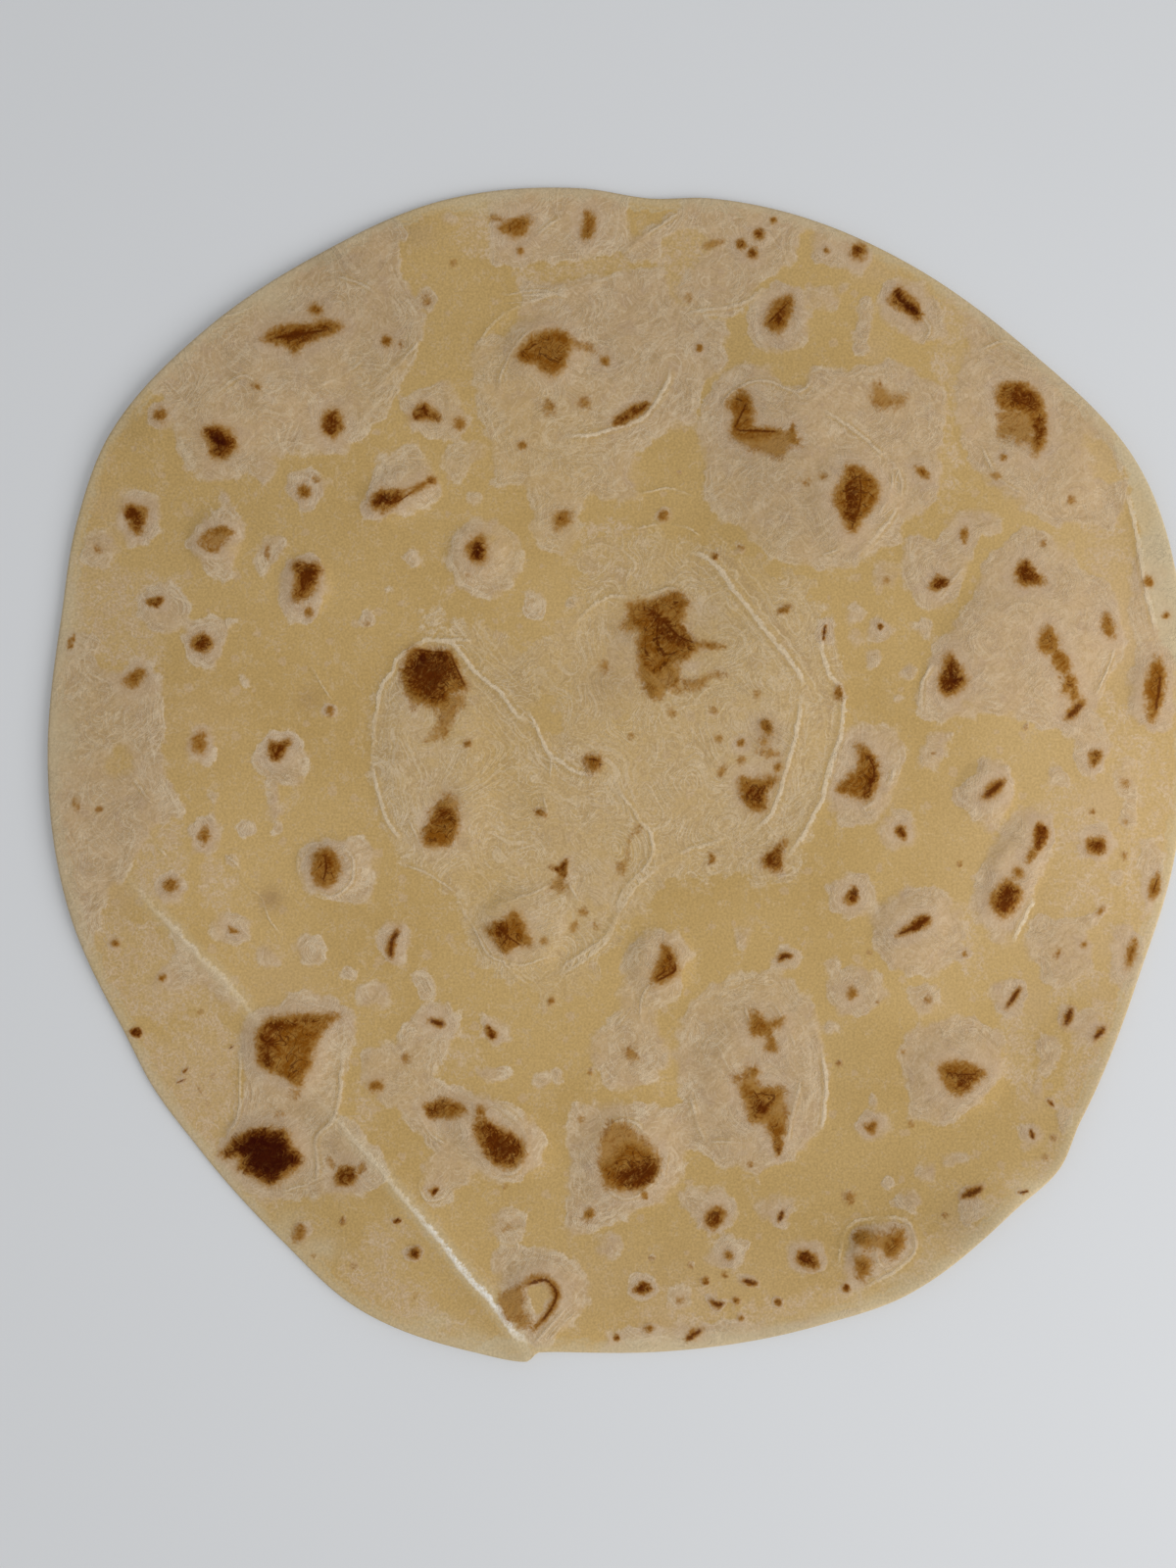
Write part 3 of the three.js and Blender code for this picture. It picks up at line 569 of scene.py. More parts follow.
# %% Pale outlines
PALE_OUTLINES = [
    # upper left, out to the rim
    (-104, 86, -100, 83, -96, 79, -94.5, 70, -90.5, 65, -85, 63, -80, 65, -74.5, 63, -71, 69, -59, 69.5,
     -55, 73, -50.5, 76, -46.5, 83, -45.5, 87, -42, 92, -40.5, 99, -43.5, 105, -46, 109, -46, 114,
     -45, 117, -47.5, 121, -56, 126, -80, 116, -98, 98),
    (-30, 132, -27, 124, -26, 112, -22, 110.3, -12, 111, -2, 112.5, 3, 114.5, 3, 120, 1, 130),
    (-19.6, 107, -20.4, 99, -24, 95.6, -29.6, 94.4, -31, 90, -29.6, 82.6, -28, 75, -26, 68, -25.4, 62.3,
     -20, 63, -18, 60, -17, 52, -15, 48.7, -8.5, 48, -5, 56, 0, 59, 6, 60, 5, 68, 11, 74, 18, 76, 20, 84,
     26, 91, 24, 98, 17, 101, 13, 105, 11, 110, 0, 109, -12, 107, -20, 107.5),
    (-46.4, 81.6, -42.3, 83.2, -37, 85.8, -34.6, 85.4, -33, 81.6, -31.4, 78.4, -31.6, 75.4, -35.5, 72.4,
     -40, 72.6, -43.4, 74.8, -46, 79),
    (-36.5, 70, -33, 72, -28, 72, -27.5, 69, -31, 66, -33.5, 63.2, -36, 66),
    (-54.6, 58, -52.5, 63, -50.4, 69, -46.6, 71, -42.3, 70.7, -39, 65.6, -36.6, 63, -37.2, 59.7,
     -42.3, 57.2, -49, 55.5, -53.3, 55),
    (-71, 65, -66, 66, -62, 64.5, -63, 60, -67, 57.2, -70.5, 60),
    (-108, 56, -106.5, 60, -102, 61.4, -98.4, 59, -98.2, 54, -100, 50.4, -104, 49.4, -107, 51.6),
    (-92.7, 50.4, -89.7, 54.6, -85.5, 58.4, -84.7, 63, -82, 58, -80, 54.6, -81, 48.7, -83.4, 42,
     -86.8, 42.8, -89.7, 45.3),
    (-76, 51, -72, 52, -71, 49, -74, 45, -76.5, 42.5, -77.5, 46),
    (-73, 40, -71, 46, -66, 47.6, -62.6, 46, -62, 42.6, -61.6, 40, -63.6, 35.6, -66, 32.8, -69.5, 32.5,
     -73, 36.5),
    (-93.5, 30, -91, 33.5, -82, 34, -83, 31.5, -84.5, 27, -87, 22.3, -92, 25),
    (-78.4, 2, -77, 6.4, -74, 9.4, -70, 9, -67, 6.6, -66.4, 2, -68.4, -3, -74, -2),
    # the left rim
    (-130, 28, -113, 30, -112, 24, -107, 22, -104, 25, -101, 24.5, -98, 19, -98, 10, -96.5, 0, -94.5, -4,
     -93, -9, -100, -12, -104, -20, -110, -28, -113, -38, -125, -40),
    (-75.3, 0, -72.6, 0, -72, -12, -74.6, -12),
    (-68.6, -17.8, -65.2, -15.2, -59.3, -14.4, -54.2, -14.2, -51.2, -17, -51.6, -22, -52.5, -27,
     -55, -28.8, -61.8, -27.5, -67, -24.6),
    (-50.8, -33, -47, -32, -44.4, -33.5, -43.6, -37, -45.6, -41.4, -48.2, -42, -50.6, -38.6),
    (-99, -29, -96, -32, -92, -37, -87, -43, -81, -49.5, -84, -51, -90, -46, -95, -48.4, -100, -47,
     -99, -43, -95.6, -40, -96.4, -34),
    # round the burns at the lower left
    (-79, -52, -73, -50.5, -68, -47.5, -60, -49, -56.5, -51, -56, -58, -58, -66, -59, -74, -53, -79,
     -48.5, -85, -49.5, -89, -54, -91.5, -63, -92.5, -73, -93, -81, -90, -86, -86, -85, -79.5, -81, -72,
     -80.5, -66, -81, -58),
    (-46, -54.5, -39, -49.5, -35, -50, -32.5, -55, -35.5, -59.5, -38, -64.5, -36.5, -67, -31, -69.5,
     -25.5, -71, -19.5, -73.5, -15, -79, -15, -84, -20, -89, -25.5, -89, -31, -85.5, -38, -83,
     -42.5, -78.5, -46, -74, -50, -72, -54, -69, -54, -60, -47.5, -58.5),
    (-44, -43.5, -40, -44, -38, -48, -41, -49, -43, -46.5),
    (-55, -46, -49, -46, -49, -51, -55, -51),
    (-28.8, -51.8, -26, -53, -23, -55.6, -22.4, -58.6, -25, -59.6, -27.8, -57.8, -28.4, -54.4),
    (-41.5, -87, -38, -82, -30, -86, -33, -91, -37, -94, -41, -93),
    (-26, -104.5, -18, -103, -9.5, -105, -5, -111, -6, -116.5, -11, -121.5, -15, -125.5, -18, -123,
     -22, -119),
    # the upper right
    (15, 124, 15, 119, 20, 118, 20, 114, 17, 110, 13, 104, 20, 100, 28, 100, 30, 104, 34, 108, 36, 109,
     40, 112, 41, 117, 45, 119, 38, 124, 25, 130),
    (29.5, 97, 30, 103, 36, 107, 41.5, 105, 43, 98, 41, 93, 36, 91, 31, 92.5),
    (2, 115, 8, 119, 14, 121.5, 16, 118, 11, 116.5, 10, 112, 4, 111),
    (43, 116, 47, 118, 53, 117, 57, 113, 54, 108, 50, 110, 44, 111),
    (53, 91, 56, 92, 56.5, 102, 54, 103, 52.6, 98),
    (58, 103, 60, 107, 66, 107, 70, 104, 72, 99, 73, 95, 67, 93.5, 63, 96, 58.5, 99),
    (29.7, 89.7, 34.9, 88.4, 37.5, 84.9, 41.8, 84.9, 43.5, 88.8, 50.5, 87.5, 55.7, 89.3, 61.7, 89.7,
     67.8, 86.7, 72.5, 84, 72.5, 76, 71.7, 69.3, 71.7, 61.5, 69.5, 58, 64.3, 54.6, 63.5, 50.3, 61, 49.8,
     55.7, 47.7, 51.3, 44.6, 47, 44.2, 40, 45.5, 34, 46.8, 29.7, 49.8, 24.5, 53.7, 21, 58, 19, 61.5,
     20, 69.3, 18.4, 75, 20, 82, 25, 88),
    (74.7, 85, 75.2, 74.5, 78.2, 67.6, 81.7, 63.3, 86.9, 60.7, 91.2, 56.3, 97.3, 53.7, 104.2, 54.6,
     108.5, 53, 112, 60, 108, 74, 98, 88, 86, 101, 77.3, 100.5, 76.9, 91.9),
    # right of the middle
    (64.3, 52, 70.4, 51, 73, 55.5, 78.2, 58, 84.3, 56.3, 85, 52, 80.8, 52, 78.2, 47.7, 76.5, 42.5,
     74.7, 38, 70.4, 35, 67, 36.4, 64.3, 40.7, 63, 46.8),
    (66.5, 13, 66.9, 19, 69.5, 26, 74.7, 33.8, 78.2, 38, 79.9, 43.3, 83.4, 49.4, 88.6, 52.9, 93.8, 53.3,
     98.1, 49.4, 102.5, 44.2, 107.7, 41.6, 110.3, 35.5, 112, 31, 111, 26, 108.5, 20.8, 105.9, 14.7,
     107.7, 8.7, 108.5, 4.3, 106, 0, 104.5, -2, 100.7, 1.7, 100.7, 6, 97.3, 8.7, 90.3, 10.8, 81.7, 13,
     73, 11.3, 68.7, 11.3),
    (112.5, 12, 122, 10, 122, 28, 114, 28),
    (113, 30, 124, 30, 124, 48, 114, 50),
    (67, 1, 71, 2, 74, 7, 73, 9, 68, 8),
    (51, 10, 57, 11, 62, 9, 64, 5, 63, 0, 60, -6, 57, -11, 49, -11, 47, -5, 48, 3),
    (73.4, -4.3, 78.2, -0.9, 81, 3.5, 86.9, 1, 87.3, -5.2, 85, -9.5, 82.5, -13, 78.2, -9.5),
    (88.6, -7.8, 95.5, -8.7, 96.8, -13.9, 94.7, -20.8, 91.2, -27.7, 87.7, -34.7, 85, -38, 81.7, -35.5,
     78.2, -28.6, 79, -22.5, 82.5, -16.5, 85, -11.3),
    (109.5, -5, 113.5, -4, 113, 2.5, 110, 2),
    (114.6, -16, 119.5, -15.6, 120, -26, 116, -30),
    (89.9, -35.5, 92.9, -30.3, 99, -32, 106.8, -29.5, 104.2, -34.7, 105, -41.6, 101.6, -44.2, 97.3, -46.8,
     93.8, -45.9, 93.8, -42.5, 90.3, -39.9),
    (109, -33, 114, -33, 115.5, -40, 112, -47.7, 108.5, -44),
    (91.6, -58, 96, -57, 97.7, -62, 93, -65.4),
    (84, -44.6, 90.3, -46, 88.5, -53.3, 83, -51),
    # the lower right
    (71.7, -84, 76, -82.8, 77.8, -84.2, 73, -85.6),
    (66, -86, 70.5, -85, 70, -88.5, 66.5, -89),
    (61, -93, 64, -90.6, 67.4, -93, 65, -96.2),
    (75, -92, 79, -90, 80, -96, 76, -98),
    (62.6, -60.7, 64.3, -56.3, 70.4, -53.7, 77.3, -52.9, 83.4, -55.5, 85.6, -60.7, 83.4, -67.6,
     78.2, -72.8, 73, -76.3, 67.8, -75.4, 64.3, -76.3, 65.2, -71.9, 63.5, -65.9),
    (2.4, -42.5, 3.2, -37.6, 8, -34.4, 12.3, -34.2, 16, -36, 17.8, -39.6, 15.4, -43.3, 14.9, -48.5,
     9.7, -51, 10.6, -56.3, 12.3, -59.8, 11.5, -65, 6.3, -68.5, 0, -68.5, -4, -64, -5, -58, -1, -54,
     1.5, -48.5),
    (13.6, -59.8, 15.8, -52, 20, -46.8, 27, -43.8, 32.3, -42.9, 36.6, -43.3, 41.8, -47.7, 45.3, -53.7,
     47, -63.3, 46.6, -71.9, 44.4, -78.9, 39.2, -84, 33, -86.7, 31.4, -89.3, 29.7, -86.7, 21.9, -84.9,
     17.5, -81.9, 15.8, -85.4, 14.5, -90, 10.6, -93.6, 3.7, -96.2, 0, -98, -9.3, -101, -9.6, -86, -9, -72,
     0, -71.5, 13, -72, 14, -66),
    (13.5, -92, 17, -90.5, 24, -90.5, 27, -94, 26, -98, 23, -100, 19, -99.5, 17, -96),
    (20, -107, 22, -103, 25, -100, 29, -101.5, 30, -104, 27, -108),
    (31, -95, 33, -92.5, 40, -92.5, 38, -98.5, 34.5, -98.5),
    (50, -109, 52, -101, 56, -97.5, 62, -97, 66, -99.5, 66, -104, 62, -107, 57, -110, 52, -112),
    (0, -121.5, 20, -119.5, 40, -119, 52, -116, 54, -122, 20, -132, 0, -130),
]
print(len(PALE_OUTLINES), "pale outlines")

# %% Pale ovals, waxy islands and the film over the middle
# x, y, half width, half depth
PALE_OVALS = [
    (-40.5, 103, 2.6, 2.6), (-111.5, 48.5, 4, 4), (-27.7, 46.8, 8.3, 8.7), (-43.5, 46.8, 2, 2),
    (-53.3, 33, 2, 2), (-17, 36.4, 2.6, 3.2), (-8.5, 37, 1.6, 1.6), (-16.3, -114.3, 2.6, 3.2),
    (-97.5, 36, 6, 5.5), (-89.3, 6, 3.4, 4.2), (-88.7, -13.5, 3.8, 4.5), (-96, -25, 3.6, 3.6),
    (-79.5, -12.3, 2, 2), (-87, -5, 1.3, 1.3), (-83, -19, 1.7, 1.7), (-83, -34, 4.4, 3.9),
    (-65.5, -38.5, 3.2, 3.6), (-74.5, -40, 2.6, 2.6), (-57, -43.5, 1.6, 1.4), (-15.5, -67, 2, 2),
    (-11.5, -66, 1.5, 1.5), (-22.3, -98.5, 4.4, 4), (-0.5, -103, 3, 3), (46, 103.4, 4.4, 2.6),
    (50, 105, 1.5, 1.5), (59.5, 43, 3, 3), (53, 34.5, 2.2, 2.2), (53, 29.5, 1.5, 1.5), (58.5, 31, 3, 3),
    (57, 25, 2, 2), (65, 22, 1.7, 1.7), (62, 16, 1, 1), (68, 31.5, 2.3, 2.3), (62.2, -12.5, 4.5, 4.5),
    (52, -26.5, 5.3, 5.3), (66.6, -34.5, 10.4, 9.8), (53, -47.5, 6.7, 5.6), (68, -49, 3.4, 3.4),
    (105.3, -15.5, 4.4, 4.4), (97, -1, 2.5, 2.5), (110, -22.7, 1.7, 1.7), (112.5, -9, 2.2, 4),
    (99, -53, 2.5, 3), (103.5, -55, 3.4, 4), (92.5, -69, 1.2, 3), (98, -75, 2, 3), (91, -78, 2.6, 2.6),
    (60, -89, 1.3, 1.3), (47.4, -55.7, 1.5, 1.5), (76, -39, 2.2, 2.2), (28.5, -36, 2, 2),
    (48, -41.5, 1.8, 1.8), (38, -40.5, 3.2, 3), (56.3, -77, 4, 3.6), (57, -72, 1, 2),
    (42.5, -105, 4.3, 4.3), (7, -112, 4, 3), (15, -114, 2.8, 2.8), (104.6, 3, 3.5, 3.5),
    (-25.5, -65.5, 4.5, 1.6), (-98, 77.5, 3, 3), (46.3, 31, 2.6, 3.4), (-35, 120.5, 2.2, 1.4),
    (-48, 40, 1.2, 1.2), (-80, 20, 1.4, 1.2), (-30, 60, 1.6, 1.6),
]

WAXY_ISLANDS = [
    (24, 91, 28, 99.5, 30, 93, 34, 92, 40, 90, 42, 86, 37, 85, 33, 89),
    (18, 76, 11, 74, 5, 68, 6, 60, 0, 59, -5, 60, -7, 56, -5, 51.5, 4, 52, 12, 54, 19, 52, 26, 50.5,
     30, 47, 34, 46, 33, 48, 28, 52.5, 21, 58.5, 19.5, 66, 18.5, 72),
    (103.5, 72.5, 107, 71, 110.5, 64, 109, 62.8, 105, 65),
    (-109, 5, -106, 5, -105, 1, -108, 0),
    (-8, -70.8, 13, -70.4, 13, -71.6, -8, -71.6),
    (-17.5, -111.5, -14.5, -110.6, -13.2, -113, -15, -117, -17.5, -115.5),
    (-15.4, 17, -12.6, 16, -11.6, 12, -12.6, 9, -15, 9.4, -16.4, 13),
]

# the film over the sunken middle
FILM_OUTLINE = (
    -39, 29.5, -47, 24, -50.4, 20.8, -52.5, 13, -52.5, 0, -50, -9.3, -47.8, -17.8, -42.3, -21.2,
    -35.6, -26.2, -33.9, -29.6, -31.3, -38, -27.9, -43.2, -17.8, -46.6, -15.2, -50.8, -12.7, -52.5,
    -9.3, -49, -4.2, -45.7, 0, -37, 8, -29.5, 12.3, -23.4, 20, -23, 27, -22.5, 31.4, -24.3, 36.6, -23.8,
    40.9, -20.8, 41.8, -16.5, 44.4, -11.3, 47, 0, 50, 8, 50.5, 17.4, 49.3, 26, 48, 34, 44.5, 36.5,
    42.7, 43.5, 34, 44, 28, 47, 20, 50, 12, 51.5, 5, 57, -2, 57.6, -7.6, 54, -9, 45, -8, 40, -13.5, 30,
    -17.8, 27, -21.2, 28.4, -24.5, 31.8, -27, 34, -34, 32.6, -39, 36, -41.5, 32.6
)

# thin haze over the waxy dough
HAZES = [
    (-58, -108, -50, -98, -44, -100, -46, -106, -37, -117, -32, -121, -36, -121, -48, -118, -56, -112),
    (26, -118, 34, -114, 46, -112, 58, -108, 64, -105, 60, -110, 48, -116, 36, -119),
    (-20, 106, -10, 108, 0, 109, 5, 112, -2, 112, -12, 110.6, -20, 109.6),
    (-122, 46, -112, 46, -104, 44, -97, 43, -94, 40, -99, 36, -98, 30, -100, 24, -108, 24, -124, 28),
    (106, 20, 112, 14, 118, 8, 122, -5, 120, -10, 112, -2, 106, 8),
    (95, -12, 98, -25, 94, -30, 108, -30, 110, -20, 106, -8, 100, -2, 96, -4),
    (98, -76, 96, -84, 90, -89, 82, -95, 80, -92, 90, -85, 95, -78),
    (79, -98, 74, -103, 66, -109, 62, -109, 68, -102, 74, -98),
    (84, -53, 92, -54, 91, -68, 85, -66),
    (95, -42, 105, -44, 104, -49, 96, -48),
    (65, -24, 75, -28, 81, -36, 80, -44, 74, -40, 70, -30),
    (-91, -50, -86, -49, -84, -55, -80, -64, -85, -66, -92, -60),
    (103, 57, 110, 54, 112, 44, 105, 42),
    (70, 103, 77, 104, 78, 86, 71, 84),
    (73, 83, 75, 74, 74, 60, 71, 60, 72, 74),
    (-32, 113, -27, 113, -27, 122, -32, 121),
    (10, 105, 20, 105, 21, 118, 11, 118),
    (-5, 54, 5, 54, 6, 43, -6, 43),
    (-104, -12, -94, -12, -93, -22, -101, -27),
    (-89.7, -20, -83, -20, -83, -29, -89, -28),
    (-104, -62, -88, -60, -71, -88, -71, -92, -84, -96),
    (112, -14, 120, -12, 118, -34, 112, -46, 107, -42, 111, -28),
    (100, -56, 112, -48, 108, -62, 102, -72, 97, -76, 98, -66),
    (-112, -30, -92, -38, -86, -48, -100, -54, -112, -44),
    (6, -119, 10, -113, 20, -112, 22, -119),
    (-56, -67, -52, -70, -51, -76, -55, -78),
    (-36, -58, -30, -58, -30, -64, -36, -63),
]

# the skin turned up at the rim, paler with painted light coming through it
LIT_RIM_SHEETS = [
    (108.5, 72, 111, 66, 112.5, 58, 113.8, 51.5, 114.8, 44, 116.6, 36.4, 118.5, 29, 126, 22, 134, 30,
     130, 60, 118, 78),
    (-24, -121.5, -19, -122.6, -16, -130, -32, -127),
]

# painted light along the thin rim where it curls up off the table and light comes through it: x, y, half
# width, half depth
PAINTED_RIM_LIGHTS = [
    (90.5, -90.5, 4.5, 4.5), (84, -96.5, 4.5, 3.5), (78, -101.5, 4.5, 3.2), (71, -106.5, 5, 3.2),
    (64, -111, 6, 3.2), (57, -114.6, 6, 3), (48, -118, 6, 2.4), (38, -120.8, 7, 2.4),
    (27, -122.6, 8, 2.4), (14, -124, 8, 2.4), (6, -124.4, 5, 2.2), (-74, 103, 6, 4), (-30, 123.6, 6, 2.6),
    (-31, -122.5, 5, 2.4), (-39, -119, 5, 2.4), (-64, -103.4, 5, 3), (-70, -98, 3.5, 3),
    (-118, 34, 3, 10), (-119, 8, 3, 9),
]

# broad tones of the dough, paler (+) or duller (-), with painted light and shade among them:
# duller on the left and on the rim's slopes that face away from the window, paler on the right
# and along the rim that curls up towards it; x, y, half width, half depth, strength
BROAD_TONES_AND_PAINTED_SHADING = [
    (122, 0, 34, 75, 1.0), (112, 50, 22, 32, 0.9), (70, 0, 30, 40, 0.25), (-116, 5, 26, 60, -1.0),
    (-105, 70, 30, 40, -0.75), (56, -94, 45, 20, -0.9), (60, -117, 17, 6, 1.3), (77, -106, 11, 6, 1.5),
    (91, -93, 8, 8, 2.3), (12, -125, 22, 3, 1.2), (75, -97, 7, 6, -0.7), (-55, 98, 22, 17, -1.1),
    (31, 68, 16, 30, -1.3), (16, 31, 18, 13, -0.9), (-68, -88, 16, 17, -1.2), (50, -66, 14, 14, -0.6),
    (31, -8, 12, 16, -0.6), (-32, 18, 13, 18, -0.6), (-70, 54, 16, 14, -0.5), (-50, -106, 14, 14, -0.5),
    (112, 50, 8, 10, -0.4), (113, -15, 14, 38, 0.9), (80, -22, 18, 32, 0.75), (-10, 40, 13, 14, 0.6),
    (-86, -30, 18, 30, 0.7), (-88, 12, 12, 12, 0.5), (11, -70, 12, 10, 0.5), (80, 72, 16, 12, 0.7),
    (92, -70, 12, 12, 0.5), (90, 20, 12, 18, 0.5), (100, -62, 22, 30, -0.45), (0, 110, 60, 22, -0.35),
    (-100, -50, 25, 30, -0.3), (70, -50, 11, 9, 0.5), (50, 70, 12, 11, 0.5), (-10, 29, 9, 8, 0.4),
    (-61, 111, 8, 4, -1.5), (-46, 118, 8, 4, -1.5), (-104, 75, 5, 6, -1.0), (20, 103, 26, 14, -0.2),
    (0, -105, 30, 18, -0.5), (5, 92, 26, 18, -0.5), (-82, 98, 34, 24, -0.4),
]

# yellower dough that shows through the pale skin (+) or less yellow (-), in rows of the same kind
WARM_TONES = [
    (-24, 72, 20, 16, 1.0), (-8, 66, 14, 14, 0.6), (-30, 92, 14, 10, 0.7), (-16, 50, 16, 9, 0.8),
    (24, 50, 22, 7, 0.6), (-10, -50, 14, 10, 0.9), (24, -46, 24, 10, 0.7), (10, -30, 12, 8, 0.6),
    (-88, 72, 14, 9, 0.5), (-52, 84, 10, 12, 0.5), (-112, 12, 10, 14, 0.5), (-50, -68, 14, 9, 0.6),
    (-28, -30, 14, 9, 0.4), (-22, 14, 14, 12, 0.5), (-26, -90, 16, 12, 0.4), (-70, -90, 10, 7, 0.4),
    (114, 28, 9, 12, -0.8), (92, 30, 9, 12, -0.4), (108, 34, 8, 9, -0.6), (92, 66, 10, 10, -0.5),
    (106, 48, 8, 8, -0.4), (95, -30, 14, 14, -0.3), (110, -8, 8, 12, -0.4), (20, -110, 30, 8, -0.4),
    (-10, -112, 12, 8, -0.4), (-90, 12, 10, 10, -0.4), (-88, -68, 12, 10, -0.4), (-72, -46, 10, 8, -0.4),
    (-28, 26, 7, 5, 1.0), (-14, 15, 5, 8, 1.2), (-25, 2, 5, 8, 1.2), (-17, -6, 4, 5, 1.0),
    (2, 9, 5, 6, 1.0), (-28, -24, 6, 6, 1.0), (2, -18, 4, 6, 0.8), (6, 53, 12, 6, 1.0),
    (30, 42, 7, 10, 0.9), (24, 62, 5, 5, 0.5), (-10, 40, 10, 4, 0.8), (106, 68, 4, 5, -0.8),
    (106, -6, 5, 5, -0.8), (-107, -27, 5, 4, -0.8), (92, -50, 4, 5, -0.8), (91, -72, 3, 3, -0.8),
    (74, -98, 3, 5, -0.8), (57, 109, 5, 3, -0.8), (57, 92, 3, 4, -0.8), (-110, 58, 4, 4, -0.8),
    (-64, -103, 4, 3, -0.8), (10, -119, 6, 3, -0.8), (-42, 117, 4, 2.5, -0.8), (70, -50, 5, 3, -0.5),
    (62, -2, 2, 8, -0.5), (107, -38, 2.4, 4, -0.6), (106, -48, 4, 3, -0.6),
]

# soft greyish frost inside the film, where the skin is thickest: x, y, half width, half depth
FILM_FROST = [
    (-45, 12.5, 4, 5), (-40, 3, 6, 7), (-38, -10, 8, 9), (-15, -30, 9, 9), (1.5, 25.5, 4, 6),
    (-24, -36, 9, 7), (-2, -25, 12, 9), (30, 4, 10, 14), (21, 35, 5, 4), (17, 22.6, 4, 2.4),
    (24, 22.6, 4, 2.4),
]
print(len(PALE_OVALS), "ovals,", len(WAXY_ISLANDS), "islands,", len(HAZES), "hazes")

# %% [markdown]
# ## Creases
#
# When a pocket sinks, its skin is too long for the space and rucks up in thin bright threads that
# follow the pocket's edge. A thread is much thinner than a face of the mesh, so each point stores
# its distance to the nearest thread with a sign for the side. Between two points the value passes
# through zero exactly on the line, and the material draws the thread there.

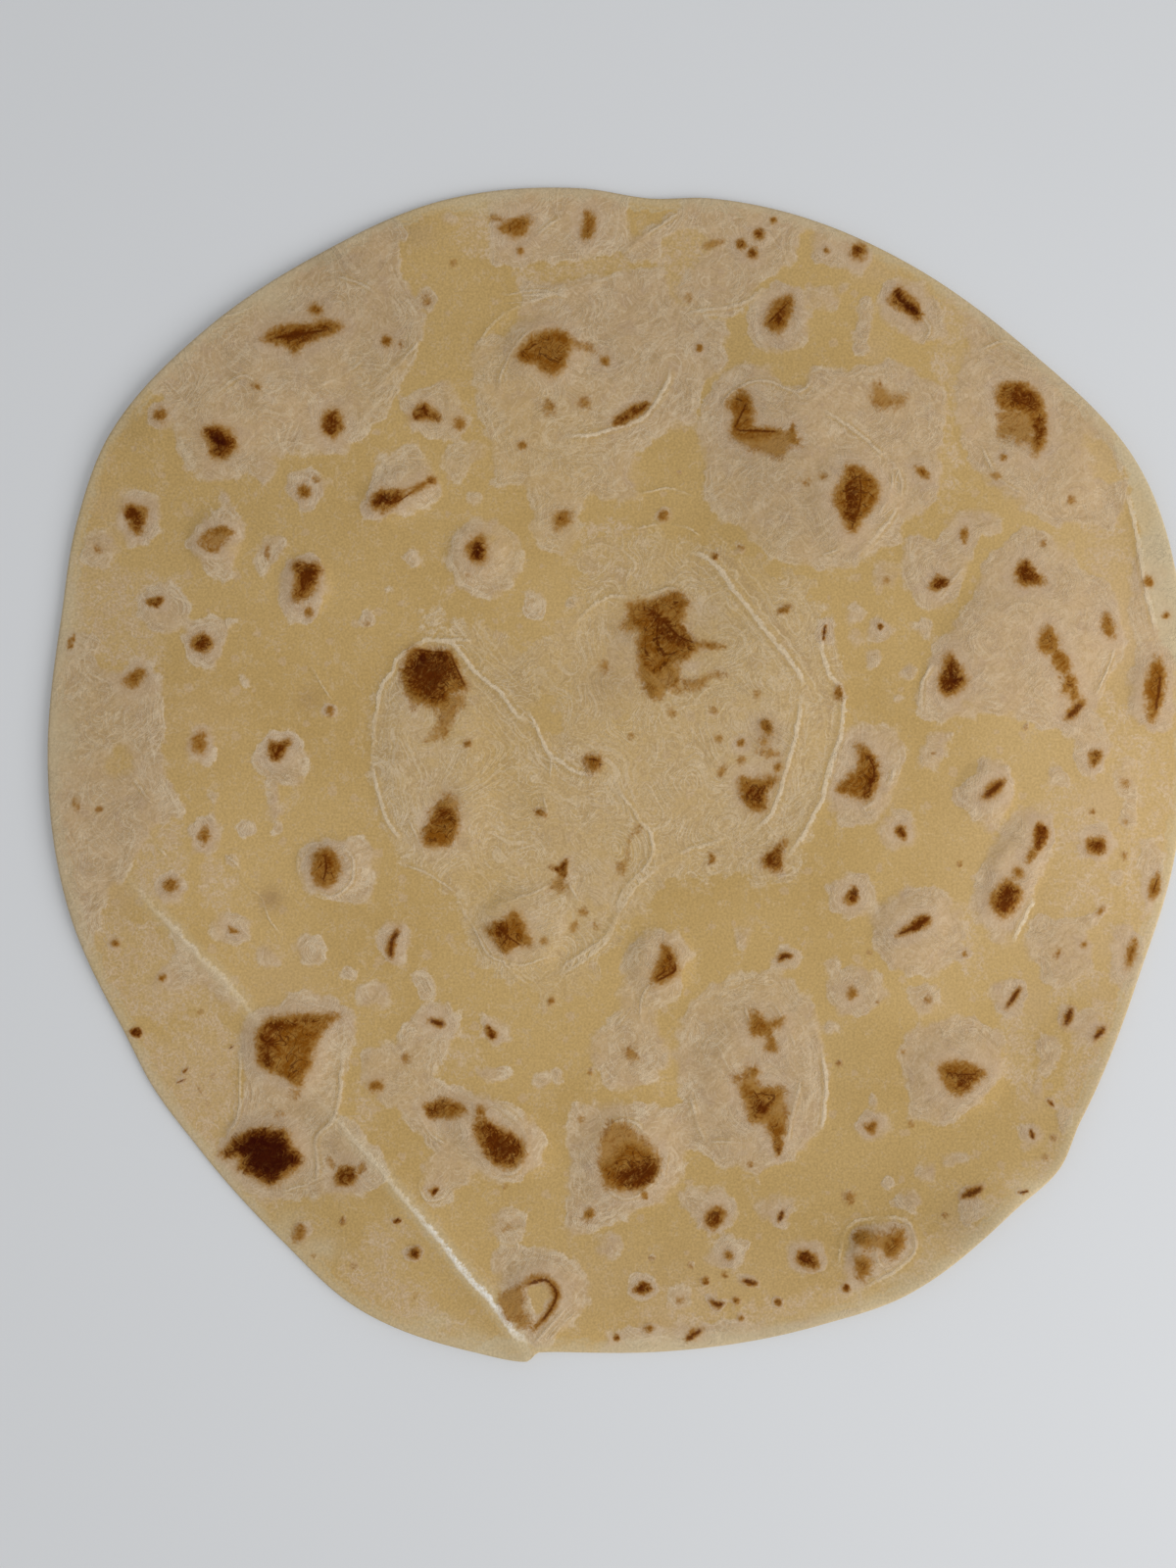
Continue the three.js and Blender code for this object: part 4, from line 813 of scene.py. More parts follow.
# %% The threads: half width, then the points along each
THREADS = [
    (0.4, 50, -110, 49.4, -105, 50.6, -99.6, 53.4, -97.4, 58, -96.6, 63, -96.8, 65.4, -99.4, 65.6, -103.6,
     62.6, -106.8, 58, -109.6, 54, -111.8, 50.6, -111),
    (0.28, 56.4, -98.6, 57.4, -101.6, 57, -104.4, 58.6, -107),
    (0.6, 16, 48, 20, 47, 22.5, 45, 26, 40, 30, 35, 34, 30, 38.5, 24.5, 41, 20.5, 43, 16.5),
    (0.5, 41, 18, 40.5, 12, 39.5, 7, 37.5, 0, 36.5, -4, 34.5, -9, 30, -13.5),
    (0.55, 45, 35, 45.5, 28, 47, 22, 50, 18, 50.3, 14, 49.5, 8, 47.8, 3, 47, 0, 45.5, -6, 43.5, -10,
     41.4, -13.6, 39.4, -16.6, 36.6, -20),
    (0.4, 28, -12, 22, -15, 17, -16.5, 12, -19, 8, -22, 4, -26, 1, -31, -1.5, -35.5, -6, -39, -10, -41.5,
     -12, -43.5),
    (0.4, 0.6, -1.6, 1.9, -4.4, 4.5, -7.9, 6.2, -10.5, 8.4, -13.1, 8.9, -16.6, 7.8, -19.7, 4.5, -23.2,
     2, -26.4, 0.4, -31.6),
    (0.35, 1.8, -29, -0.3, -35, -3.4, -38.6, -7.6, -41.8, -12, -44.4),
    (0.5, -52.5, 0, -52, 8, -50.5, 18, -48, 22, -47, 24.6, -42.5, 28.1, -39, 29.1, -34.6, 27.9, -32, 24.6,
     -29.8, 21.8, -26.8, 19.6, -25, 18.1, -23.2, 16, -21.5, 13.7, -19.8, 11.9, -18.4, 10.4),
    (0.46, -18.6, 14.4, -17.4, 11.8, -16.3, 9.6, -14.9, 6.3, -13.2, 3.6, -10.5, 1.9, -7.5, 0.2,
     -4.6, -0.5, -2.4, -0.2),
    (0.26, -13.3, 3.4, -13.6, -2.6), (0.3, -7.5, 7.1, -4, 5.4, -2.3, 3.4),
    (0.46, -52.4, 2, -51.3, -3, -49, -10.2, -46, -14.6), (0.28, -44, -10, -40.5, -18.5),
    (0.28, -45, -20, -40, -22, -34, -26), (0.35, -39, 29.2, -30, 28.8),
    (0.4, -11.6, 30, -7.5, 33.4, -4, 36.4, -0.5, 38.2, 4.7, 38, 8.9, 38.8, 12.8, 40, 17, 37.6),
    (0.3, 4, 53, 10.6, 54, 16, 53.4, 19.4, 51.2),
    (0.28, -33, -29, -30, -34, -28, -38, -26, -40, -20, -41.7, -15, -40.3, -11, -39.7),
    (0.28, -29, -30, -20, -27, -15, -25, -12, -23), (0.28, -9.5, -24, -7, -28),
    (0.28, -5, -25, -1, -29.5), (0.28, -24, -41, -20, -45), (0.28, -15, -5, -14, -9),
    (0.4, 59, 69.6, 62, 66, 63.1, 61.9, 60.8, 56, 56.4, 50.4, 51, 45.4),
    (0.28, 61, 66, 60.4, 61, 57.6, 56), (0.28, 46, 47.5, 50, 49),
    (0.45, 13, 89, 12.3, 86, 11, 83, 8.7, 79.5, 6, 77, 0, 74.7, -6, 73.5, -12, 73.2),
    (0.28, -65.5, -14.7, -68.5, -20, -66, -25.5, -61.7, -27.3, -56.8, -24, -56.1, -19, -58.7, -15.5),
    (0.3, -24.3, 82, -24.3, 86.5, -21.2, 92.5, -16, 97, -10, 98.3),
    (0.35, -29.5, 93.2, -23.5, 100, -10, 105.2, 0, 108), (0.35, -51, 85, -44.5, 91, -42, 94),
    (0.4, 61.5, 1.5, 60.5, -2, 58, -5.5, 54, -8.2), (0.28, -1.5, -77, 2, -75, 6, -76.6, 8.4, -80),
    (0.28, 11.3, -82.5, 9, -88.5, 3, -92.3, -1.5, -90), (0.3, -102, -12.5, -97, -18),
    (0.28, -105, 0, -100, -7), (0.3, -17, -124, -13, -119.5, -10, -116),
    (0.28, -14.5, -124, -11, -120, -8, -117), (0.35, 15, 100, 25.5, 101.5, 30, 103, 33, 106),
    (0.3, 2, 113, 8, 117.5, 15, 122), (0.3, -22, 112, -14, 119, -11, 121),
    (0.28, 77.5, 46, 74, 42, 70, 38), (0.3, 3, 60, 12, 62, 18, 60), (0.3, -101, 88, -97, 92, -92, 95),
    (0.3, -86, 82, -80, 86, -76, 84),
    (0.3, 23.6, 79, 24.9, 81.8, 27.1, 83.5, 30.5, 85.2, 34.2, 85.2, 36.9, 84.1, 40.2, 83.1, 42.5, 84.3,
     43.8, 86.6),
    (0.34, 39.4, 80.8, 44, 79.8, 47, 78.3, 52, 75.2, 57, 71, 61, 67.4), (0.4, 67, 14, 67.5, 20, 70, 24),
    (0.28, 109.5, 28, 107, 21, 105, 17), (0.5, 92, -27, 87, -37), (0.5, 46, -60, 46.5, -70, 45.5, -78),
    (0.35, 17, -70, 18.5, -76, 20, -80), (0.28, 21, -80, 30, -80), (0.35, 41, -66, 39, -74, 38, -80),
    (0.28, 35, -50, 38, -55, 40, -60), (0.28, 43, -53, 45, -58), (0.28, 29, -51, 30, -55),
    (0.28, 14.5, -43.5, 11, -46, 8, -46, 6.5, -49, 6, -54), (0.28, 1, -55, 4, -51),
    (0.28, 12, -82, 11, -88), (0.28, -68, -16, -68.5, -21, -66, -25, -60, -27.5),
    (0.4, -35, -69, -28, -71, -22, -74, -19, -78, -18.5, -82, -21, -86.5, -25, -87),
    (0.28, -43, -73, -39, -79, -35, -81), (0.28, -41, -87.5, -42, -90, -40, -93, -36, -92),
    (0.35, -81, -60, -81, -68, -81.5, -75, -84, -78.5),
    (0.4, -58.5, -60, -59, -66, -60, -74, -63, -77.5, -64.5, -80, -64, -85, -64.5, -90),
    (0.28, -72, -91, -66, -89.5),
    (0.26, -84.5, -17.5, -81.6, -20, -79.6, -24.4, -76.4, -27, -74.8, -31.4, -71.6, -36.5),
    (0.28, -66, 24, -63, 19, -61, 16), (0.5, 111, 63, 113.6, 51.5, 114.7, 44, 116.4, 36.4, 118.5, 29.5),
    (0.28, -86, 98, -80, 100, -74, 103), (0.28, -60, 108, -54, 106, -50, 103),
    (0.28, -64, 84, -58, 87, -54, 90), (0.28, -24, 104, -16, 105, -8, 103),
    (0.28, 66, 101, 69, 97, 68, 94), (0.28, 80, 92, 86, 94, 92, 91), (0.28, 80, 72, 84, 64, 90, 60),
    (0.28, -28, 52, -23, 49),
]

# the crease along the fold, more closely than the fold of the main form
FOLD_CREASE = (
    -109, -17, -105, -23, -100, -29, -95, -34, -90, -39.5, -85, -44, -80, -50, -72, -60, -66, -68,
    -60, -75, -55, -81, -51, -85, -48, -89, -44, -94, -42, -96, -37, -102, -33, -107, -30, -110.5,
    -27, -113.5, -24, -117.5, -21, -121.5, -18, -124, -17, -127)
print(len(THREADS), "threads")

# %% [markdown]
# ## Turning the rows into fields
#
# Every table above is turned into distances at the mesh's points. An outline is first rounded
# into a smooth loop through its corners. The distance to it is positive inside and negative
# outside, and only the points near it are worked out. The union of two shapes is the larger of
# their distances, and an island is cut out with the smaller.

# %% Distances to outlines, strokes and spots
REACH = 6.0  # beyond this many millimetres a shape has no influence


def placed(row):
    return np.asarray(row, float).reshape(-1, 2) + ROWS_FROM


def rounded(points, closed, parts=4):
    """Points along the smooth curve through the given ones."""
    if len(points) < 3:
        return points
    if closed:
        line = np.vstack([points[-1], points, points[:2]])
    else:
        line = np.vstack([2 * points[0] - points[1], points, 2 * points[-1] - points[-2]])
    t = (np.arange(parts) / parts)[:, None]
    curve = []
    for before, start, end, after in zip(line[:-3], line[1:-2], line[2:-1], line[3:]):
        curve.append(0.5 * (2 * start + (end - before) * t
                            + (2 * before - 5 * start + 4 * end - after) * t**2
                            + (3 * start - before - 3 * end + after) * t**3))
    return np.vstack(curve + ([] if closed else [points[-1:]]))


def nearby(points, px, py):
    low, high = points.min(0) - REACH, points.max(0) + REACH
    return np.flatnonzero((px > low[0]) & (px < high[0]) & (py > low[1]) & (py < high[1]))


def outline_depth(row, px, py):
    """Which points are near the outline, and how deep inside it each of them is."""
    loop = rounded(placed(row), closed=True)
    near = nearby(loop, px, py)
    qx, qy = px[near][:, None], py[near][:, None]
    start, end = loop, np.roll(loop, -1, 0)
    way = end - start
    rx, ry = qx - start[:, 0], qy - start[:, 1]
    t = np.clip((rx * way[:, 0] + ry * way[:, 1]) / np.maximum((way**2).sum(1), 1e-9), 0, 1)
    distance = np.sqrt((rx - t * way[:, 0]) ** 2 + (ry - t * way[:, 1]) ** 2).min(1)
    crosses = (start[:, 1] > qy) != (end[:, 1] > qy)
    rise = np.where(way[:, 1] == 0, 1e-9, way[:, 1])
    inside = (crosses & (qx < start[:, 0] + (qy - start[:, 1]) * way[:, 0] / rise)).sum(1) % 2 == 1
    return near, np.where(inside, distance, -distance)


def stroke_depth(row, px, py):
    """As above, for a stroke that is thin at its ends and thickest halfway along."""
    line = rounded(placed(row[1:]), closed=False)
    near = nearby(line, px, py)
    distance, along, _ = line_position(line, px[near], py[near])
    return near, row[0] * (0.4 + 0.7 * np.sin(np.pi * along)) - distance


def half_sizes(row):
    """A spot has one radius, and an oval a half width and a half depth."""
    return np.array(row[2:] * 2 if len(row) == 3 else row[2:], float)


def shares_away(row, px, py):
    """How far points are from the middle of a spot or an oval, as a share of its size."""
    cx, cy = np.add(row[:2], ROWS_FROM)
    half_width, half_depth = half_sizes(row)
    return np.hypot((px - cx) / half_width, (py - cy) / half_depth)


def oval_depth(row, px, py):
    half = half_sizes(row)
    near = nearby(np.add(row[:2], ROWS_FROM) + [-half, half], px, py)
    return near, (1 - shares_away(row, px[near], py[near])) * half.mean()


SHALLOWEST = 0.35   # a shape counts as at least this deep, so that tiny ones stay soft
STEEPENING = 0.7    # at 1, every deeper shape would come to the full depth of the core


def deepest(rows, depth, px, py, core=0.0):
    """The largest depth of many shapes. A shape less deep than the core is drawn steeper."""
    field = np.full(px.shape, -REACH)
    for row in rows:
        near, deep = depth(row, px, py)
        peak = deep.max() if len(deep) else 0
        if 0 < peak < core:
            deep = deep * (core / max(peak, SHALLOWEST)) ** STEEPENING
        field[near] = np.maximum(field[near], deep)
    return field


print("a spot 2 mm across at its middle:", oval_depth((0, 0, 1), np.array([-1.4]), np.array([0.0]))[1])

# %% Paint the top and the edge
HALO = 1.0              # the parted skin reaches at least this far round every mark
FILM_HALO = 0.25        # share of the halo that is left deep inside the film
CARAMEL_DRAWN_IN = 1.2  # the parted skin round a caramel mark reaches this much less far
CORE = 1.3              # a brown mark is at its darkest this deep inside
DARK_CORE = 2.0         # and a dark one this deep
TOAST_MARGIN = 0.3      # a dark mark is browned this much further out


def paint(px, py, tables):
    """The fields of one side, from its tables of shapes."""
    def depths(kinds, shape, core=0.0):
        return [deepest(tables[kind], shape, px, py, core) for kind in kinds]

    field = {}
    field["burn"] = deepest(tables["black"], outline_depth, px, py, DARK_CORE)
    field["char"] = np.maximum.reduce([
        field["burn"],
        *depths(["dark"], outline_depth, DARK_CORE),
        *depths(["dark_spots"], oval_depth, CORE)])
    field["toast"] = np.maximum.reduce([
        field["char"] + TOAST_MARGIN,
        *depths(["dark_strokes", "brown_strokes"], stroke_depth, CORE),
        *depths(["brown"], outline_depth, CORE),
        *depths(["brown_spots"], oval_depth, CORE)])
    field["caramel"] = np.maximum.reduce([
        *depths(["caramel"], outline_depth, CORE),
        *depths(["caramel_strokes"], stroke_depth, CORE),
        *depths(["caramel_spots"], oval_depth, CORE)])
    film, haze, sheets, islands, pale = depths(["film", "haze", "sheets", "islands", "pale"], outline_depth)
    pale = np.minimum(np.maximum(pale, *depths(["ovals"], oval_depth)), -islands)
    field["film"] = np.minimum(film, -islands)
    field["haze"] = haze
    field["lit_rim_sheet"] = sheets
    marks = np.maximum(field["toast"], field["caramel"] - CARAMEL_DRAWN_IN)
    halo = HALO * (1 - (1 - FILM_HALO) * ease(field["film"], 0, 3))
    field["pale"] = np.maximum(pale, marks + halo)
    return field


TOP = {
    "black": BLACK_OUTLINES, "dark": DARK_OUTLINES, "dark_strokes": DARK_SLITS,
    "dark_spots": DARK_SPOTS, "brown": BROWN_OUTLINES, "brown_strokes": BROWN_STROKES,
    "brown_spots": BROWN_SPOTS, "caramel": CARAMEL_OUTLINES, "caramel_strokes": CARAMEL_STROKES,
    "caramel_spots": CARAMEL_SPOTS, "pale": PALE_OUTLINES, "ovals": PALE_OVALS,
    "islands": WAXY_ISLANDS, "film": [FILM_OUTLINE], "haze": HAZES, "sheets": LIT_RIM_SHEETS,
}
top_fields = paint(x[above], y[above], TOP)
print({name: round(float((values > 0).mean()), 3) for name, values in top_fields.items()}, "of the top")

# %% [markdown]
# The underside was griddled too, but lies hidden. It gets its own scatter of the same kinds of mark
# from a seeded generator: lobed outlines and spots, each in its pale ring, larger and flatter than
# above because this side lay on the hot plate last.

# %% Scatter marks over the underside
rng = np.random.default_rng(31)
BIG_MARKS, BIG_APART = 26, 28
SMALL_MARKS, SMALL_APART = 90, 11


def lobed(cx, cy, size, lobes=9, ragged=0.28):
    turn = np.arange(lobes) / lobes * 2 * math.pi + rng.uniform(0, 1)
    reach = size * (1 + ragged * rng.standard_normal(lobes)).clip(0.45, 1.6)
    return tuple(np.stack([cx + reach * np.cos(turn), cy + reach * np.sin(turn)], 1).ravel())


def scattered(count, apart, limit=112):
    """Places on the round that keep their distance from each other."""
    places = []
    while len(places) < count:
        place = rng.uniform(-limit, limit, 2)
        if np.hypot(*place) < limit and all(np.hypot(*(place - other)) > apart for other in places):
            places.append(place)
    return places


UNDER = {name: [] for name in TOP}
for cx, cy in scattered(BIG_MARKS, BIG_APART):
    size = rng.uniform(3.0, 6.0)
    UNDER["pale"].append(lobed(cx, cy, size * rng.uniform(1.9, 2.9), ragged=0.14))
    UNDER["brown"].append(lobed(cx, cy, size * 1.15))
    UNDER["dark"].append(lobed(cx, cy, size * 0.7))
for cx, cy in scattered(SMALL_MARKS, SMALL_APART):
    size = rng.uniform(0.8, 1.9)
    UNDER["ovals"].append((cx, cy, size * 2.6, size * 2.4))
    UNDER["brown_spots" if rng.uniform() < 0.6 else "caramel_spots"].append((cx, cy, size))
UNDER["film"] = [lobed(10, -5, 42, lobes=14, ragged=0.12), lobed(-70, 60, 24, lobes=12, ragged=0.15)]
under_fields = paint(x[on_underside], y[on_underside], UNDER)
fields = {}
for name in top_fields:
    fields[name] = np.zeros(len(x))
    fields[name][above] = top_fields[name]
    fields[name][on_underside] = under_fields[name]
print({name: len(rows) for name, rows in UNDER.items() if rows}, "on the underside")

# %% The threads' distance and strength at every point of the top
THREAD_FADE = 1.9   # how far from a line its strength reaches
FOLD_FADE = 5.0
FAR = 30.0          # stored on the underside, where no line or rim has any influence
MAIN_THREAD = 0.45  # half width from which a thread rucks the skin beside it
FADING_END = 0.14   # share of a line's length over which it fades at each end


def nearest_line(rows, px, py, fade):
    """Signed distance to the nearest line in its half widths, and a strength that fades from it."""
    distance, signed = np.full(px.shape, REACH), np.full(px.shape, REACH)
    strength = np.zeros(px.shape)
    for half_width, *row in rows:
        line = rounded(placed(row), closed=False)
        near = nearby(line, px, py)
        away, along, side = line_position(line, px[near], py[near])
        closer = away < distance[near]
        spot = near[closer]
        distance[spot] = away[closer]
        signed[spot] = (away * np.where(side < 0, -1, 1) / half_width)[closer]
        ends = ease(along, 0, FADING_END) * (1 - ease(along, 1 - FADING_END, 1))
        strength[spot] = (ends * (1 - ease(away, fade * 0.5, fade)))[closer]
    return signed, strength


main_threads = [rounded(placed(row[1:]), closed=False) for row in THREADS if row[0] >= MAIN_THREAD]
fields["beside"] = np.minimum.reduce([line_position(line, x, y)[0] for line in main_threads])
fields["beside"] = np.where(above, fields["beside"], FAR)
for name, rows, fade in (("thread", THREADS, THREAD_FADE), ("slit", DARK_SLITS, THREAD_FADE),
                         ("fold", [(1.0, *FOLD_CREASE)], FOLD_FADE)):
    signed, strength = np.full(len(x), REACH), np.zeros(len(x))
    signed[above], strength[above] = nearest_line(rows, x[above], y[above], fade)
    fields[name], fields[name + "_strength"] = signed, strength

# the crease is plainest in its lower half, and skin hides a stretch of it a third of the way along
fold_along = line_position(rounded(placed(FOLD_CREASE), closed=False), x, y)[1]
hidden_by_skin = ease(fold_along, 0.24, 0.32) * (1 - ease(fold_along, 0.38, 0.46))
fields["fold_strength"] *= (0.65 + 0.35 * ease(fold_along, 0.45, 0.75)) * (1 - 0.7 * hidden_by_skin)
fields["crumb"] = fields["fold_strength"] * ease(fold_along, 0.5, 0.8)
print("points on threads:", int((np.abs(fields["thread"]) < 1).sum()))

# %% Soft washes: blush, greyish frost, broad tones with painted light and shade, and painted light on the rim
WASH_FALL = 1.2     # how quickly a wash fades from its middle


def wash(row):
    """A soft patch over the whole round, 1 in its middle."""
    return np.exp(-(shares_away(row, x, y) ** 2) * WASH_FALL) * above


fields["blush"] = sum(wash(row) for row in BLUSHES)
fields["frost"] = np.maximum.reduce([wash(row) for row in FILM_FROST])
fields["painted_rim_light"] = np.maximum.reduce([wash(row) for row in PAINTED_RIM_LIGHTS])
# broad tones of the dough, with painted light and shade among them
fields["tone_and_painted_shading"] = sum(strength * wash(row) for *row, strength in BROAD_TONES_AND_PAINTED_SHADING)
fields["warm"] = sum(strength * wash(row) for *row, strength in WARM_TONES)
fields["rim"] = np.where(above, rim_distance, FAR)
print("rim field from", fields["rim"].min(), "to", round(float(fields["rim"].max()), 1), "mm")

# %% [markdown]
# ## Fine relief
#
# The pockets of the main form are smooth. On top of them the dough is gently wavy, the parted
# skin stands a fraction of a millimetre proud and is crumpled, the marks are the crowns of small
# blisters, and the threads are raised. This relief is real geometry down to about 2 mm; anything
# finer is left to the material's bump. Seeded lattice noise gives the same surface on every run.

# %% Seeded lattice noise
LATTICE = 256   # corners of the lattice along each side, before it repeats


def lattice_noise(px, py, size, seed):
    """Smooth noise between -1 and 1 with bumps about one size across."""
    table = np.random.default_rng(seed).uniform(-1, 1, (LATTICE, LATTICE))
    u, v = px / size + LATTICE / 2, py / size + LATTICE / 2
    i, j = np.floor(u).astype(int), np.floor(v).astype(int)
    s, t = u - i, v - j
    s, t = s * s * (3 - 2 * s), t * t * (3 - 2 * t)
    i, j, i1, j1 = (number % LATTICE for number in (i, j, i + 1, j + 1))
    return ((table[i, j] * (1 - s) + table[i1, j] * s) * (1 - t)
            + (table[i, j1] * (1 - s) + table[i1, j1] * s) * t)


print("noise sample:", lattice_noise(np.array([3.0]), np.array([7.0]), 5.0, 1).round(3))

# %% Heights of every point
# how far each kind of relief stands out at its fullest
WAVE_HEIGHT = 0.10
SKIN_HEIGHT = 0.13
SKIN_CRUMPLE = 0.10
FILM_CRUMPLE = 0.06
BLISTER_HEIGHT = 0.16
THREAD_HEIGHT = 0.26
CRUMB_HEIGHT = 0.30
# how far the last two reach from their line, in its half widths
THREAD_REACH, CRUMB_REACH = 1.8, 1.3

skin_here = ease(fields["pale"], -0.5, 1.4)
film_here = ease(fields["film"], -1.0, 2.0)
blister_here = ease(fields["toast"], -1.2, 1.8)
crumple = 0.5 * lattice_noise(x, y, 3.1, 2) + 0.5 * lattice_noise(x + y, x - y, 2.2, 3)
waves = 0.6 * lattice_noise(x, y, 31.0, 4) + 0.4 * lattice_noise(x, y, 13.0, 5)
thread_ridge = fields["thread_strength"] * np.exp(-((fields["thread"] / THREAD_REACH) ** 2))
fold_crumb = fields["fold_strength"] * np.exp(-((fields["fold"] / CRUMB_REACH) ** 2))
fine = (WAVE_HEIGHT * waves + SKIN_HEIGHT * skin_here
        + (SKIN_CRUMPLE * skin_here + FILM_CRUMPLE * film_here) * crumple
        + BLISTER_HEIGHT * blister_here + THREAD_HEIGHT * thread_ridge
        + CRUMB_HEIGHT * fold_crumb * (0.7 + 0.6 * crumple))
fade_at_rim = 1 - ease(share, 0.9, 1)
relief = pocket_relief(x, y) * fade_at_rim + fold_relief(x, y)
thickness = DOUGH_THICKNESS + relief + np.where(above, fine, 0) * (1 - 0.6 * ease(share, 0.97, 1))
height = lift_at(angle, share) + level * thickness
print("top of the relief before fitting:", round(float(height.max()), 3), "mm")

# %% Fit the points in the solid's box
SOFT_TOP = 0.25     # heights this close to the top of the box are pressed in softly
MARGIN = 0.002      # the dressed round stays this far inside the box

middle_x, middle_y = (x.max() + x.min()) / 2, (y.max() + y.min()) / 2
box_low, box_high = np.array(CAD_BOX[0]) * 1000, np.array(CAD_BOX[1]) * 1000
points = np.stack([x - middle_x, y - middle_y, height], 1)
press_from = box_high[2] - SOFT_TOP
over = np.clip(points[:, 2] - press_from, 0, None)
pressed = press_from + SOFT_TOP * (1 - np.exp(-over / SOFT_TOP))
points[:, 2] = np.where(over > 0, pressed, points[:, 2])
points = np.clip(points, box_low + MARGIN, box_high - MARGIN)
points[(level == 0) & (share < LIFT_START), 2] = box_low[2]
print("visual box, mm:", points.min(0).round(3), points.max(0).round(3))

# %% [markdown]
# ## The mesh
#
# The fields ride on the mesh as point attributes, which the material reads by name. The UV map lays
# the top out as one disc and the underside as a smaller one, so that baked maps have no overlap
# and spend most of their room on the side that is seen.

# %% Build the mesh and store its fields
mesh = bpy.data.meshes.new("griddled_dough")
mesh.from_pydata((points / 1000).tolist(), [], faces.tolist())
mesh.polygons.foreach_set("use_smooth", np.ones(len(faces), bool))
for name, values in fields.items():
    mesh.attributes.new(name, "FLOAT", "POINT").data.foreach_set("value", values.astype(np.float32))

TOP_MIDDLE, TOP_DISC = 0.4, 0.385         # where each disc has its middle on the map, across and up,
UNDER_MIDDLE, UNDER_DISC = 0.812, 0.180   # and how far it reaches
EDGE_ROW_ROOM = 0.0022                    # room for each row of the edge, outside the top's disc
LARGEST_RADIUS = 133                      # no rim radius is longer

row_out = np.zeros(len(x))
row_out[len(top_share):points_above] = edge_row
directions = np.stack([np.cos(np.radians(angle)), np.sin(np.radians(angle))], 1)
disc_share = (share * rim_radius(angle) / LARGEST_RADIUS)[:, None]
top_uv = TOP_MIDDLE + directions * (disc_share * TOP_DISC + row_out[:, None] * EDGE_ROW_ROOM)
under_uv = UNDER_MIDDLE + directions * (-1, 1) * disc_share * UNDER_DISC
corners = faces.ravel()
below = np.repeat(np.arange(len(faces)) >= len(top_faces) + len(edge_faces), 3)
uv = np.where(below[:, None], under_uv[corners], top_uv[corners])
mesh.uv_layers.new(name="OFBake").data.foreach_set("uv", uv.ravel().astype(np.float32))
mesh.update()
mesh.validate()

tortilla = bpy.data.objects.new("flour_tortilla_round", mesh)
bpy.context.collection.objects.link(tortilla)
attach(tortilla, "root")
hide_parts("tortilla")
print(len(mesh.vertices), "points,", len(mesh.polygons), "triangles")

# %% [markdown]
# ## One material for the dough
#
# The finish is one Principled surface, matte and slightly uneven. Its colour is built in layers,
# as on the griddle: waxy yellow dough, a thin film, pale crumpled skin, bright threads, then the
# toasting from caramel to nearly black. Some layers are painted light and shade: highlights along
# the crests of creases and threads, shade beside them, and light on the curled rim. Each layer is
# a mask mixed over the last one. To keep the sums readable, a small class wraps a socket, so that
# an expression on values adds the Math nodes it needs.

# %% Values that vary over the surface, and a finish that holds their nodes
class Field:
    def __init__(self, finish, socket):
        self.finish, self.socket = finish, socket

    def maths(self, operation, first, second=0.0):
        return self.finish.node("ShaderNodeMath", {"operation": operation}, {0: first, 1: second})

    def __add__(self, other):
        return self.maths("ADD", self, other)

    def __radd__(self, other):
        return self.maths("ADD", other, self)

    def __sub__(self, other):
        return self.maths("SUBTRACT", self, other)

    def __rsub__(self, other):
        return self.maths("SUBTRACT", other, self)

    def __mul__(self, other):
        return self.maths("MULTIPLY", self, other)

    def __rmul__(self, other):
        return self.maths("MULTIPLY", other, self)

    def __abs__(self):
        return self.maths("ABSOLUTE", self)

    def larger(self, other):
        return self.maths("MAXIMUM", self, other)

    def smaller(self, other):
        return self.maths("MINIMUM", self, other)

    def step(self, low, high):
        """0 below low, 1 above high and a smooth rise between them."""
        return self.finish.node("ShaderNodeMapRange", {"interpolation_type": "SMOOTHSTEP"},
                                {"Value": self, "From Min": low, "From Max": high})


class Finish:
    def __init__(self, name):
        self.material = bpy.data.materials.new(name)
        self.material.use_nodes = True
        self.tree = self.material.node_tree
        self.tree.nodes.clear()

    def node(self, kind, settings, sockets, out=0):
        node = self.tree.nodes.new(kind)
        for name, value in settings.items():
            setattr(node, name, value)
        for name, value in sockets.items():
            if isinstance(value, Field):
                self.tree.links.new(value.socket, node.inputs[name])
            else:
                node.inputs[name].default_value = value
        return Field(self, node.outputs[out]) if node.outputs else node

    def mix(self, under, over, factor):
        under, over = [(*c, 1) if isinstance(c, tuple) else c for c in (under, over)]
        return self.node("ShaderNodeMix", {"data_type": "RGBA"}, {0: factor, 6: under, 7: over}, out=2)


dough = Finish("griddled_dough")
print("finish:", dough.material.name)

# %% Places in millimetres, stored fields and noise
places = dough.node("ShaderNodeVectorMath", {"operation": "SCALE"},
                    {0: dough.node("ShaderNodeTexCoord", {}, {}, out="Object"), "Scale": 1000.0})


def stored(name):
    return dough.node("ShaderNodeAttribute", {"attribute_name": name}, {}, out="Fac")


def noise(size, seed, detail=1.0, roughness=0.5, distortion=0.0, at=places):
    """Noise from about -1 to 1 whose bumps are about one size (mm) across."""
    moved = dough.node("ShaderNodeVectorMath", {"operation": "ADD"},
                       {0: at, 1: (seed * 37.1, seed * -23.7, 0)})
    raw = dough.node("ShaderNodeTexNoise", {"noise_dimensions": "2D"},
                     {"Vector": moved, "Scale": 1 / size, "Detail": detail, "Roughness": roughness,
                      "Distortion": distortion})
    return (raw - 0.5) * 5


def threads(raw, width):
    """Thin curling lines, where noise passes through its middle."""
    return 1 - abs(raw).step(width * 0.3, width)


